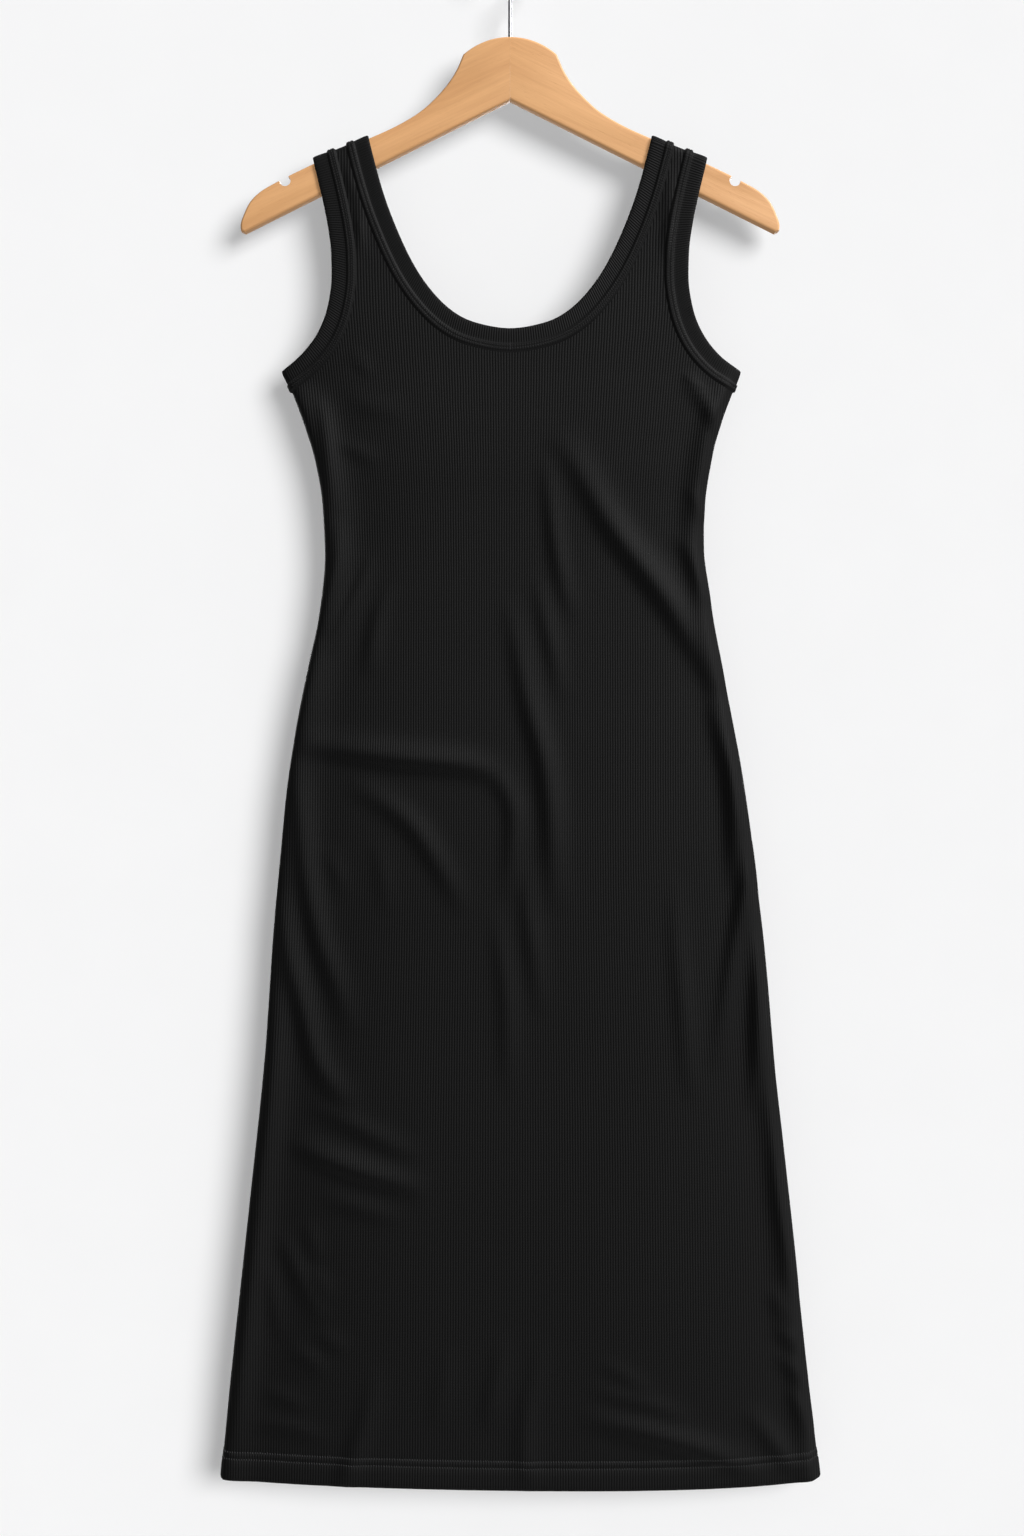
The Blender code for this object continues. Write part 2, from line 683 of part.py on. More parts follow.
def material(name):
    if name in bpy.data.materials:
        return bpy.data.materials[name]
    colour, roughness, metallic = PALETTE[name]
    made = bpy.data.materials.new(name)
    made.use_nodes = True
    shader = made.node_tree.nodes["Principled BSDF"]
    shader.inputs["Base Color"].default_value = (*colour, 1)
    shader.inputs["Roughness"].default_value = roughness
    shader.inputs["Metallic"].default_value = metallic
    made.diffuse_color = (*colour, 1)
    return made


def collection(name):
    if name not in bpy.data.collections:
        bpy.context.scene.collection.children.link(bpy.data.collections.new(name))
    return bpy.data.collections[name]


def move_to(thing, name):
    for old in list(thing.users_collection):
        old.objects.unlink(thing)
    collection(name).objects.link(thing)


def new_object(name, data, finish):
    made = bpy.data.objects.new(name, data)
    made.data.materials.append(material(finish))
    collection("sleeveless_dress").objects.link(made)
    return made


def clear_scene():
    for old in list(bpy.data.objects):
        bpy.data.objects.remove(old, do_unlink=True)


def main():
    clear_scene()
    panel("front_panel", FRONT, FRONT_ZONES, FRONT_COLUMNS)
    panel("back_panel", BACK, BACK_ZONES, BACK_COLUMNS)
    for face, word in ((FRONT, "front"), (BACK, "back")):
        neck_band(f"neck_band_{word}", face)
        for side, side_word in ((LEFT, "left"), (RIGHT, "right")):
            armhole_band(f"armhole_band_{word}_{side_word}", face, side)
    bore = cylinder(
        "stem_bore", WIRE / 2 + STEM_BORE_GAP, 2 * (STEM_DEPTH + SEAM_GAP),
        (0, 0, HEAD_TOP_Z), (0, 0, 0),
    )
    hanger_arm("hanger_arm_left", LEFT, bore)
    hanger_arm("hanger_arm_right", RIGHT, bore)
    hook()


main()
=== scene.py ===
"""The looks of a sleeveless rib-knit dress that hangs on a wooden hanger.

The file is laid out as an add-on: each operator makes one group of pieces round
the loaded frame. The pattern's tables are in millimetres, and MM turns them into
metres where a mesh is made. +Z is up, -Y is the front, +X is the viewer's right.

A place on the cloth is given by s, which runs round the section from the left
side seam (-1) over the centre line (0) to the right side seam (1), and by q, the
height along the cloth, which goes on over the hanger above the shoulder.
"""

import math

import bmesh
import bpy
import numpy as np
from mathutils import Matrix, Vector


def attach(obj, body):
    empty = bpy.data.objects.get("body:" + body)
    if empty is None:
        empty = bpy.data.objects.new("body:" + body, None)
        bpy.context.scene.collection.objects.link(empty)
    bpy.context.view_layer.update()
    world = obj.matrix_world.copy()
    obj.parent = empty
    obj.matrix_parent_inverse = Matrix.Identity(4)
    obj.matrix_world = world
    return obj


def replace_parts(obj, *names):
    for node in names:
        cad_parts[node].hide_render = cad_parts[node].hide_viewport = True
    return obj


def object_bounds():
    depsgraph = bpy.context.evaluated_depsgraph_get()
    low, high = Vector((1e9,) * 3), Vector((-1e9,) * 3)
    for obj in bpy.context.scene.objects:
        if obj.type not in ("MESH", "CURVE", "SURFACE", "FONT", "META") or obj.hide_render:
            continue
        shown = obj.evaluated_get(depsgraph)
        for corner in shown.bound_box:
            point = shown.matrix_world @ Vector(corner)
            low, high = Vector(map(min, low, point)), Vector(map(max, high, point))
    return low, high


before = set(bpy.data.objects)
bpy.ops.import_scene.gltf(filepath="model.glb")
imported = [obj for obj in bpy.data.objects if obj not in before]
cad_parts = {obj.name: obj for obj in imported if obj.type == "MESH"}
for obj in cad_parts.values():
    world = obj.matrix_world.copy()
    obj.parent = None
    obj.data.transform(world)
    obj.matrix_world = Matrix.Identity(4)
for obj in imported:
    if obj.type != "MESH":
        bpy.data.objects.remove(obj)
CAD_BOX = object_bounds()

bl_info = {
    "name": "Rib-knit dress on a hanger",
    "version": (1, 0, 0),
    "blender": (4, 5, 0),
    "location": "View3D > Sidebar > Dress",
    "description": "Finishes a sleeveless rib-knit dress on its wooden hanger",
    "category": "Object",
}

MM = 0.001
SHARP_ANGLE = math.radians(75)  # edges of the cloth sharper than this aren't shaded smooth
SEAM_GAP = 0.3
FRONT, BACK = -1, 1
LEFT, RIGHT = -1, 1
FACES = {"front": FRONT, "back": BACK}
SIDES = {"left": LEFT, "right": RIGHT}

# ---- Pattern of the dress

# Height, half-widths of the hanging dress left and right of the hook, and half its depth.
SECTIONS = (
    (-1268, 239.2, 256.6, 21), (-1163, 228.7, 244.3, 20), (-1040, 215.5, 231.2, 19),
    (-916, 202.4, 218, 18), (-818, 195.8, 208.9, 17.5), (-744, 189.2, 200.7, 17),
    (-694, 184.3, 193.3, 16), (-645, 176.9, 185.1, 15), (-596, 167, 176, 13.5),
    (-546, 157.1, 167, 12.5), (-497, 153, 160.4, 12), (-460, 155, 160.8, 12.5),
    (-423, 161.2, 166.2, 13.5), (-398, 168.6, 172.7, 13.5), (-367, 180, 184, 13),
    (-350, 187.5, 189.5, 12.5), (-300, 198, 198, 12), (-140, 204, 204, 10),
)
SIDE_ROUNDING = 3.0
SIDE_CROWDING = 0.15
SHARE_STEPS = 2001
CROWDING_POWER = (1 + SIDE_CROWDING) / SIDE_CROWDING

HEM_SIDE_Z = -1257.5
HEM_CENTRE_Z = -1264.6
HEM_SKEW = 0.22  # how far the hem's lowest place lies to the right of the centre line
HEM_CORNER = 2.6  # how far the hem rises at its rounded corners
HEM_CORNER_SPAN = 0.012  # share of the half section over which it rises
UNDERARM_Z = -350.0
UNDERARM_SEAM_Z = -367.0
CENTRE_OVER_SIDE = 14.0

# Free edges of the neck and armhole, up to where the strap turns over: half-width and height.
NECK_EDGE = (
    (0, -316.6), (31.5, -310.8), (49, -300.9), (67.9, -280.8), (80.5, -260.9),
    (94.1, -231.2), (102.7, -208.2), (108.5, -188.5), (114.8, -164), (118.4, -150),
)
ARMHOLE_EDGE = (
    (172.7, -338.5), (157.6, -319.5), (149.8, -299.8), (146.1, -274), (146.5, -254.1),
    (149.4, -231.2), (153.4, -211.3), (157.6, -193.4), (161.6, -177.3), (164.6, -165),
)
BAND_WIDTH = 19.0
NECK_OVERLAP = 3  # neck places that are mirrored, so that the line is level at the centre
EDGE_POINTS = 960
EDGE_SMOOTHING = 61
UNDERARM_CROWDING = 1.3
UNDERARM_EASE = 5  # in one part of so many, an armhole line is drawn to its place at the seam
STRAP_LEAN = 0.2

# The strap turns over the hanger along a flat-topped curve.
SHOULDER_IN = (118.0, -158.6)
SHOULDER_OUT = (163.0, -176.9)
SHOULDER_SLOPE = (SHOULDER_OUT[1] - SHOULDER_IN[1]) / (SHOULDER_OUT[0] - SHOULDER_IN[0])
STRAP_DEPTH = 9.6
STRAP_FULL_Z = -215.0
STRAP_START_Z = -330.0
TURN_RISE = 8.0
TURN_LENGTH = 14.7
TURN_POWER = 3.0

# Folds: the height of the ridge, its half-width, the part of its length at which it is
# highest, and then x and z of places along its crest. The first rows are the main ones.
FRONT_FOLDS = (
    (7, 11, 0.55, 34, -398, 49, -420, 84, -480, 129, -540, 153, -580, 174, -616),
    (6, 9, 0.55, 164, -618, 172, -645, 181, -680, 184, -720, 184, -778),
    (3.2, 7, 0.55, 28, -420, 32, -452, 38, -500, 44, -530, 52, -556),
    (5.5, 9, 0.6, -4, -535, 3, -560, 14, -620, 29, -680, 33, -720, 36, -795),
    (6.5, 9.5, 0.5, -178, -656, -140, -661, -90, -668, -40, -673, -14, -681, -1, -699),
    (3.6, 8, 0.3, -13, -682, -2, -697, 3, -718, 2, -740, -2, -785),
    (3.8, 8.5, 0.5, -136, -688, -105, -704, -80, -724, -63, -748, -36, -796),
    (5, 8.5, 0.55, -177, -664, -171, -710, -167, -760, -158, -810, -142, -855, -128, -896),
    (5.4, 8.5, 0.6, -188, -776, -180, -830, -170, -870, -160, -912, -147, -934, -124, -956),
    (5.2, 9, 0.45, -182, -978, -160, -991, -130, -1003, -100, -1012, -66, -1022),
    (2.6, 7, 0.5, 15, -750, 14, -785, 19, -830, 24, -878),
    (2.8, 7.5, 0.55, 134, -764, 136, -820, 140, -865, 144, -915, 150, -952),
    (5.2, 8, 0.35, 198, -734, 195, -760, 187, -802, 181, -838, 173, -890, 168, -925),
    (4.8, 7.5, 0.6, 208, -786, 205, -830, 203, -880, 202, -920, 196, -956),
    (4.5, 9, 0.5, 54, -1203, 80, -1210, 120, -1220, 160, -1233, 190, -1246, 206, -1260),
    (3.2, 8, 0.8, -110, -1160, -114, -1190, -124, -1226, -138, -1266),
    (4, 7.5, 0.7, 213, -932, 218, -980, 220, -1020, 227, -1066, 233, -1112),
    (3.4, 8.5, 0.5, -192, -850, -193, -900, -197, -960, -202, -1002, -207, -1050),
    (3.4, 8.5, 0.5, -204, -1020, -212, -1100, -219, -1160, -226, -1235),
    (3, 6, 0.5, 142, -350, 149, -361, 158, -375, 167, -392, 174, -408),
    (2.4, 7, 0.5, 164, -398, 163, -416, 160, -436, 156, -456, 153, -476),
    (2.6, 7.5, 0.6, 128, -482, 143, -495, 151, -510, 157, -526, 162, -546),
    (2.4, 6.5, 0.4, -159, -368, -152, -390, -149, -416, -147, -440, -144, -472),
    (2.4, 7, 0.5, -141, -470, -141, -500, -145, -525, -150, -545, -155, -566),
    (2.2, 9, 0.5, -158, -566, -162, -595, -167, -625, -174, -656),
    (2.4, 7, 0.5, 22, -520, 27, -548, 34, -578, 42, -622),
    (2.6, 7, 0.5, -12, -792, -7, -830, -3, -870, -2, -945),
    (2.2, 6.5, 0.5, -112, -500, -121, -523, -131, -545, -148, -582),
    (2, 7, 0.6, -96, -526, -107, -548, -112, -570, -117, -602),
    (2.4, 7.5, 0.5, -166, -950, -140, -962, -110, -977, -70, -996),
    (1.8, 7, 0.5, -158, -1026, -135, -1032, -110, -1039, -86, -1045),
    (2.4, 6.5, 0.5, -190, -1052, -180, -1075, -166, -1104, -150, -1132),
    (1.5, 6, 0.5, -167, -1045, -161, -1065, -157, -1080),
    (1.6, 6, 0.5, -164, -1082, -154, -1098, -147, -1112),
    (1.8, 6, 0.5, -197, -1078, -194, -1108, -188, -1144),
    (1.6, 6, 0.5, -160, -1136, -146, -1144, -132, -1152),
    (1.8, 6, 0.5, -182, -1150, -165, -1158, -150, -1174),
    (1.6, 5.5, 0.5, -206, -1184, -186, -1190, -164, -1200),
    (1.8, 5.5, 0.5, -214, -1212, -185, -1214, -164, -1219, -146, -1226),
    (1.3, 8, 0.5, -50, -1146, -55, -1176, -62, -1216),
    (2, 7, 0.6, -6, -1134, -10, -1165, -15, -1187, -20, -1216),
    (2.6, 7, 0.7, 27, -1140, 20, -1172, 13, -1200, 11, -1232, 17, -1268),
    (1.5, 5.5, 0.5, 70, -1158, 92, -1171, 118, -1187),
    (2, 6.5, 0.5, 62, -1180, 90, -1189, 120, -1197, 152, -1212),
    (3.2, 7.5, 0.6, 190, -1196, 205, -1214, 217, -1230, 236, -1256),
    (2.2, 6.5, 0.5, 212, -1098, 219, -1116, 222, -1134),
    (2, 6, 0.5, 214, -1130, 224, -1140, 237, -1152),
    (2, 6, 0.5, 214, -1154, 229, -1166, 242, -1184),
    (2.2, 6.5, 0.5, 226, -1180, 237, -1200, 247, -1226),
    (1.4, 5.5, 0.5, 144, -444, 153, -460, 158, -478),
    (1.4, 6, 0.5, -144, -408, -126, -417, -106, -426),
    (1.1, 8, 0.5, -136, -372, -110, -382, -82, -386),
    (0.9, 5, 0.5, -129, -332, -122, -345, -115, -357),
    (1.3, 6.5, 0.5, -152, -738, -143, -760, -136, -782),
    (1.3, 7, 0.5, -111, -734, -105, -760, -101, -796),
    (1.7, 3.4, 0.5, -133, -180, -131, -196, -127, -212),
    (1.8, 3.6, 0.5, -126, -198, -124, -222, -122, -258),
    (2, 3.6, 0.5, 131, -184, 131, -205, 129, -228, 126, -262),
)
BACK_FOLDS = (
    (6, 11, 0.5, -40, -410, -62, -455, -100, -524, -142, -588, -166, -640),
    (4.6, 9, 0.5, -160, -640, -172, -690, -178, -740, -178, -800),
    (3.4, 8, 0.5, 12, -464, 8, -520, -2, -580, -12, -660),
    (6, 9.5, 0.5, 172, -664, 130, -672, 84, -680, 44, -692, 22, -722, 16, -776),
    (3.8, 9, 0.45, 128, -700, 96, -714, 70, -736, 50, -770, 40, -806),
    (3.6, 8, 0.5, -18, -752, -26, -820, -26, -890, -18, -972),
    (5, 8.5, 0.5, 182, -700, 174, -760, 160, -816, 140, -870, 120, -908),
    (4.6, 8.5, 0.5, -184, -820, -172, -880, -156, -930, -132, -970),
    (4.4, 9, 0.5, 66, -996, 100, -1010, 140, -1028, 180, -1052),
    (3, 8, 0.8, -88, -1146, -94, -1186, -102, -1226, -112, -1266),
    (3, 8, 0.8, 98, -1150, 100, -1190, 108, -1230, 120, -1266),
    (3.6, 8, 0.5, -206, -940, -212, -1000, -218, -1060, -226, -1120),
    (3.4, 8.5, 0.5, 206, -860, 212, -940, 220, -1020, 230, -1110),
    (2.4, 7, 0.5, -150, -380, -150, -420, -146, -450, -142, -480),
    (2.4, 7, 0.5, 152, -380, 152, -420, 148, -460, 150, -500),
    (2.2, 7, 0.5, 116, -492, 126, -524, 136, -552, 150, -584),
    (2.2, 7, 0.5, -26, -536, -32, -566, -38, -592, -46, -622),
    (1.6, 6.5, 0.5, -152, -416, -136, -424, -112, -434),
    (2, 7, 0.5, 20, -1010, 60, -1024, 92, -1038, 122, -1056),
    (1.8, 6.5, 0.5, -196, -1100, -188, -1122, -174, -1152),
    (2.2, 7, 0.7, 8, -1150, 12, -1190, 12, -1226, 6, -1266),
    (2.6, 7, 0.5, 184, -1166, 200, -1194, 216, -1222, 232, -1252),
    (3.2, 8, 0.5, -60, -1206, -100, -1214, -140, -1226, -180, -1240),
    (1.2, 3.6, 0.5, -130, -186, -129, -210, -126, -250),
    (1.2, 3.6, 0.5, 130, -188, 128, -214, 125, -254),
)
FOLD_STEPS = 4  # straight steps between two places of a crest
FOLD_REACH = 3  # half-widths from its crest at which a fold is flat
FOLD_FADE = 0.03  # share of the half section beside a side seam in which the folds end
LIT_SIDE, DARK_SIDE = 1.15, 0.8  # a ridge's half-widths to its upper right and its lower left
# The soft roll beside each side seam, as the front view shows them: how far it stands out,
# how far its crest lies from the seam, and its half-widths towards the seam and away from it.
SIDE_ROLLS = ((7.0, 3.0, 5.0, 18.0), (4.4, 9.0, 7.0, 10.0))  # left, right
SIDE_ROLL_TOP = (-345.0, -385.0)
SEAM_DIP = 0.8
SEAM_DIP_WIDTH = 1.6

# Height, and how many ribs one millimetre of the dress holds there, against the waist.
RIB_SPREAD = (
    (-1268, 0.94), (-1000, 0.955), (-700, 1), (-540, 1), (-456, 0.985), (-374, 0.935),
    (-291, 0.885), (-200, 0.87), (-130, 0.865),
)

# ---- Make of the pieces

PANEL_COLUMNS = 48  # to each side of the centre line
ROW_HEIGHT = 4.6
UNDERARM_ROWS = 12
STRAP_ROWS = 52
PANEL_TURN_ROWS = 10
HALVED_AT = (2, 10, 24, 40)  # rows above the neck seam at which the columns are halved
WALL_AT_SEAM = 0.4  # share of the wall's thickness left at a side seam
WALL_EASE = 0.04

# The hem: the way up from its edge, and the heights of the outer and inner faces.
HEM_SECTION = (
    (0, 0.1, -0.7), (0.4, 0.55, -1.2), (1.2, 0.8, -1.5), (5, 0.85, -1.6), (11, 0.85, -1.6),
    (15.4, 0.75, -1.5), (16.8, 0.3, -1.3), (17.5, 0.15, -1.2), (18.2, 0.3, -1.3),
    (20.1, 0.6, -1.5), (21.8, 0.4, -1.4), (22.6, 0.05, -1.2), (23.3, -0.05, -1.1),
    (24.2, 0, -1), (27, 0, -1),
)
HEM_HEIGHT = 23.0
HEM_STITCH_ROWS = (17.5, 23.1)

# The section of a band: the way from its free edge to its seam, and the height over the panel.
BAND_SECTION = (
    (0, -0.35), (0.1, 0.3), (0.55, 0.8), (1.5, 1.05), (3.6, 1.15), (7, 1.05), (10.4, 0.85),
    (11.9, 0.7), (12.5, 0.75), (12.9, 1.3), (13.3, 1.8), (13.9, 1.95), (15, 1.85),
    (16, 1.8), (17, 1.9), (17.9, 2), (18.5, 1.85), (19, 1.2), (19.5, 0.5), (20, -0.1),
    (21, -1), (21, -1.45), (13, -1.5), (1.2, -1.35), (0.4, -1.05),
)
BAND_TOP_PLACES = 20  # places of the section on its outer face
RIB_END = (10.8, 12.4)  # between these ways from the free edge the band's ribs get shallower
WELT_RIB_DEPTH = 0.3  # share of their depth that is left on the welt
INSIDE_RIB_DEPTH = -0.6  # and on the inner face, where they stand the other way
RIB_STEPS = 4  # stations for each rib of a band
WELT_STITCH_ROWS = (14.4, 16.6)
COARSE_ROWS = (100, 4)  # rows and turn rows of the lines that a band is first measured on

STITCH_RISE = 0.12  # a stitch's middle over the cloth
HEM_STITCH_SLANT = math.radians(72)  # from the row's own direction
WELT_STITCH_SLANT = math.radians(20)
STITCH_SIDES = 5
STITCH_POINTS = 600  # along the line of the hem's stitches, from side seam to side seam
STITCH_RINGS = ((-0.5, 0.45), (-0.3, 1.0), (0.3, 1.0), (0.5, 0.45))  # along, radius

# The wooden hanger: the outline of one arm, from the mitre round the head to the tip.
ARM_THICKNESS = 12.0
HEAD_RADIUS = 58.0
HEAD_TOP_Z = -76.0
HEAD_SPAN = 38.5
HEAD_STEPS = 16
MITRE_GAP = 0.06
FLANK = (
    (43.8, -103), (50.6, -114), (60, -125), (72.5, -136.5), (86.5, -145.5), (98, -151.5),
)
ARM_TOP = ((114.5, -158.9), (196.0, -197.6))
TIP = (
    (205.6, -203.6), (213.4, -211.5), (218.4, -221.5), (221.2, -231), (220.8, -235),
)
ARM_FOOT = (217.5, -236.2)
APEX_Z = -127.3
OUTLINE_STEP = 2.5
NOTCH_PLACE = (184.6, -194.2)
NOTCH_RADIUS = 4.6
ARM_SLOPE = math.radians(25.4)
ARM_SHARP_ANGLE = math.radians(32)
BORE_SIDES = 48

WIRE = 3.4
STEM_DEPTH = 22.0
STEM_BORE_GAP = 0.3
HOOK_INNER_RADIUS = 19.0
HOOK_RADIUS = HOOK_INNER_RADIUS + WIRE / 2
BEND_START_Z = -46.0
HOOK_FROM, HOOK_TO = math.radians(-50), math.radians(200)
HOOK_STEPS = 64
BEND_STEPS = 14
TIP_ROUNDING = ((0.0, 1.0), (0.45, 0.9), (0.8, 0.6), (0.98, 0.2))  # along in radii, radius

# The ways in which the suns shine. Only the key light and the lamp behind cast shadows.
SUN_WAYS = {
    "key": (-0.64, 1.0, -0.3),
    "side": (-1.0, 0.4, -1.0),
    "low": (0.0, 0.03, 1.0),
    "rear": (-0.3, -1.0, -0.2),
}
LAMP_PLACE = (-0.8, 2.6, 0.3)
LAMP_TARGET = (0, 0, -0.7)
LAMP_WIDTH = 1.6
WALL_WIDTH, FLOOR_WIDTH = 5.0, 12.0
WALL_BRIGHTNESS = 0.9  # of the world, as the camera sees it past the wall
WHITE = (1, 1, 1, 1)

# The knit's finish.
RIB_DRIFT = 0.9  # how far the ribs wander to each side, in radians of their wave
RIB_ROUNDING = 0.6  # power of the wave that shapes a rib
LOOP_LENGTH = 0.62  # in widths of a rib
LOOP_SLANT = 2.6  # radians by which a loop runs ahead in the middle of a rib
LOOP_RELIEF, FUZZ_RELIEF = 0.16, 0.22  # against the relief of the ribs
FUZZ_SCALE = 2600

# Settings that the properties of one kind share.
LENGTH = {"unit": "LENGTH", "precision": 5}
COLOUR = {"subtype": "COLOR", "size": 3, "min": 0, "max": 1}


class DressSizes(bpy.types.PropertyGroup):
    """Sizes of the cloth and the sewing."""

    rib_pitch: bpy.props.FloatProperty(
        name="Rib pitch", description="Width of one rib of the knit",
        default=2.06 * MM, **LENGTH,
    )
    rib_depth: bpy.props.FloatProperty(
        name="Rib depth", description="Height of a rib over the valley beside it",
        default=0.24 * MM, **LENGTH,
    )
    band_rib_depth: bpy.props.FloatProperty(
        name="Band's rib depth", description="Height of a rib of the neck and armhole bands",
        default=0.5 * MM, **LENGTH,
    )
    wall: bpy.props.FloatProperty(
        name="Cloth", description="Thickness of the cloth's shell",
        default=1.0 * MM, **LENGTH,
    )
    stitch_length: bpy.props.FloatProperty(
        name="Stitch length", description="Length of one visible stitch",
        default=1.5 * MM, **LENGTH,
    )
    stitch_pitch: bpy.props.FloatProperty(
        name="Stitch pitch", description="Way from one stitch to the next",
        default=2.06 * MM, **LENGTH,
    )
    thread: bpy.props.FloatProperty(
        name="Thread", description="Thickness of the sewing thread",
        default=0.6 * MM, **LENGTH,
    )
    arm_edge: bpy.props.FloatProperty(
        name="Hanger edge", description="Rounding of the wooden hanger's edges",
        default=1.8 * MM, **LENGTH,
    )


class DressColours(bpy.types.PropertyGroup):
    """Colours of the finishes."""

    knit: bpy.props.FloatVectorProperty(
        name="Knit", description="Colour of the rib knit",
        default=(0.0032, 0.0032, 0.0033), **COLOUR,
    )
    binding: bpy.props.FloatVectorProperty(
        name="Binding", description="Colour of the neck and armhole bands",
        default=(0.0032, 0.0032, 0.0033), **COLOUR,
    )
    thread: bpy.props.FloatVectorProperty(
        name="Hem thread", description="Colour of the thread along the hem",
        default=(0.024, 0.024, 0.025), **COLOUR,
    )
    band_thread: bpy.props.FloatVectorProperty(
        name="Band thread", description="Colour of the thread along the bands",
        default=(0.002, 0.002, 0.002), **COLOUR,
    )
    wood: bpy.props.FloatVectorProperty(
        name="Wood", description="Main colour of the wooden hanger",
        default=(0.80, 0.44, 0.195), **COLOUR,
    )
    grain: bpy.props.FloatVectorProperty(
        name="Grain", description="Colour of the wood's darker grain",
        default=(0.62, 0.31, 0.125), **COLOUR,
    )
    steel: bpy.props.FloatVectorProperty(
        name="Steel", description="Colour of the wire hook",
        default=(0.55, 0.56, 0.58), **COLOUR,
    )
    backdrop: bpy.props.FloatVectorProperty(
        name="Backdrop", description="Colour of the wall",
        default=(0.92, 0.92, 0.925), **COLOUR,
    )
    floor: bpy.props.FloatVectorProperty(
        name="Floor", description="Colour of the floor", default=(0.5, 0.5, 0.505), **COLOUR
    )


class StageSettings(bpy.types.PropertyGroup):
    """Places and strengths of the camera, wall and lights."""

    camera_place: bpy.props.FloatVectorProperty(
        name="Camera", description="Place of the camera",
        subtype="TRANSLATION", size=3, default=(1.6 * MM, -1900 * MM, -676 * MM), unit="LENGTH",
    )
    half_height: bpy.props.FloatProperty(
        name="View", description="Half the height that the camera sees at the dress",
        default=631.8 * MM, **LENGTH,
    )
    wall_gap: bpy.props.FloatProperty(
        name="Wall gap", description="Room between the back of the dress and the wall",
        default=5 * MM, **LENGTH,
    )
    floor_drop: bpy.props.FloatProperty(
        name="Floor drop", description="Height of the hem over the floor",
        default=180 * MM, **LENGTH,
    )
    key_strength: bpy.props.FloatProperty(
        name="Key light", description="Strength of the soft light from the upper right",
        default=1.95, min=0,
    )
    key_softness: bpy.props.FloatProperty(
        name="Softness", description="Width of the key light as the dress sees it",
        default=math.radians(32), subtype="ANGLE",
    )
    side_strength: bpy.props.FloatProperty(
        name="Side light", description="Strength of the low light that picks out the folds",
        default=3.8, min=0,
    )
    fill_strength: bpy.props.FloatProperty(
        name="Fill light", description="Strength of the light from all round",
        default=0.15, min=0,
    )
    low_strength: bpy.props.FloatProperty(
        name="Low light", description="Strength of the weak light that comes up from the floor",
        default=0.9, min=0,
    )
    rear_strength: bpy.props.FloatProperty(
        name="Rear light", description="Strength of the light on the back of the dress",
        default=2.4, min=0,
    )
    back_strength: bpy.props.FloatProperty(
        name="Back light", description="Power of the soft light behind the dress",
        default=18.0, min=0,
    )


# ---- Form of the cloth


def smooth_curve(places, values, at):
    """A curve through values given at increasing places, with no overshoot between them."""
    places, values, at = (np.asarray(a, float) for a in (places, values, at))
    steps = np.diff(places)
    slopes = np.diff(values) / steps
    tangents = np.zeros_like(values)
    tangents[0], tangents[-1] = slopes[0], slopes[-1]
    same_way = slopes[:-1] * slopes[1:] > 0
    mean = 2 * slopes[:-1] * slopes[1:] / np.where(same_way, slopes[:-1] + slopes[1:], 1)
    tangents[1:-1] = np.where(same_way, mean, 0)
    i = np.clip(np.searchsorted(places, at) - 1, 0, len(steps) - 1)
    t = np.clip((at - places[i]) / steps[i], 0, 1)
    return (
        values[i] * (1 + 2 * t) * (1 - t) ** 2
        + tangents[i] * steps[i] * t * (1 - t) ** 2
        + values[i + 1] * t * t * (3 - 2 * t)
        + tangents[i + 1] * steps[i] * t * t * (t - 1)
    )


def smoothstep(value, low, high):
    t = np.clip((value - low) / (high - low), 0, 1)
    return t * t * (3 - 2 * t)


SECTION_Z, LEFT_HALF, RIGHT_HALF, HALF_DEPTH = np.array(SECTIONS).T


def half_width(z):
    return smooth_curve(SECTION_Z, (LEFT_HALF + RIGHT_HALF) / 2, z)


def centre_x(z):
    return smooth_curve(SECTION_Z, (RIGHT_HALF - LEFT_HALF) / 2, z)


def share_of_width(s):
    """x over the half-width at s, in columns that crowd towards the side seams."""
    way = np.abs(s)
    return np.sign(s) * ((1 + SIDE_CROWDING) * way - SIDE_CROWDING * way**CROWDING_POWER)


def place_of_share(share):
    way = np.linspace(0, 1, SHARE_STEPS)
    return np.sign(share) * np.interp(np.abs(share), share_of_width(way), way)


def crown_z(x):
    """Height of the cloth over the hanger."""
    return SHOULDER_IN[1] + SHOULDER_SLOPE * (np.abs(x) - SHOULDER_IN[0])


def crests(folds):
    """The folds as height, half-width, peak and the points of a smooth crest line."""
    found = []
    for height, width, peak, *places in folds:
        places = np.reshape(places, (-1, 2))
        line = smooth_line(places, FOLD_STEPS * (len(places) - 1) + 1)
        found.append((height, width, peak, line))
    return found


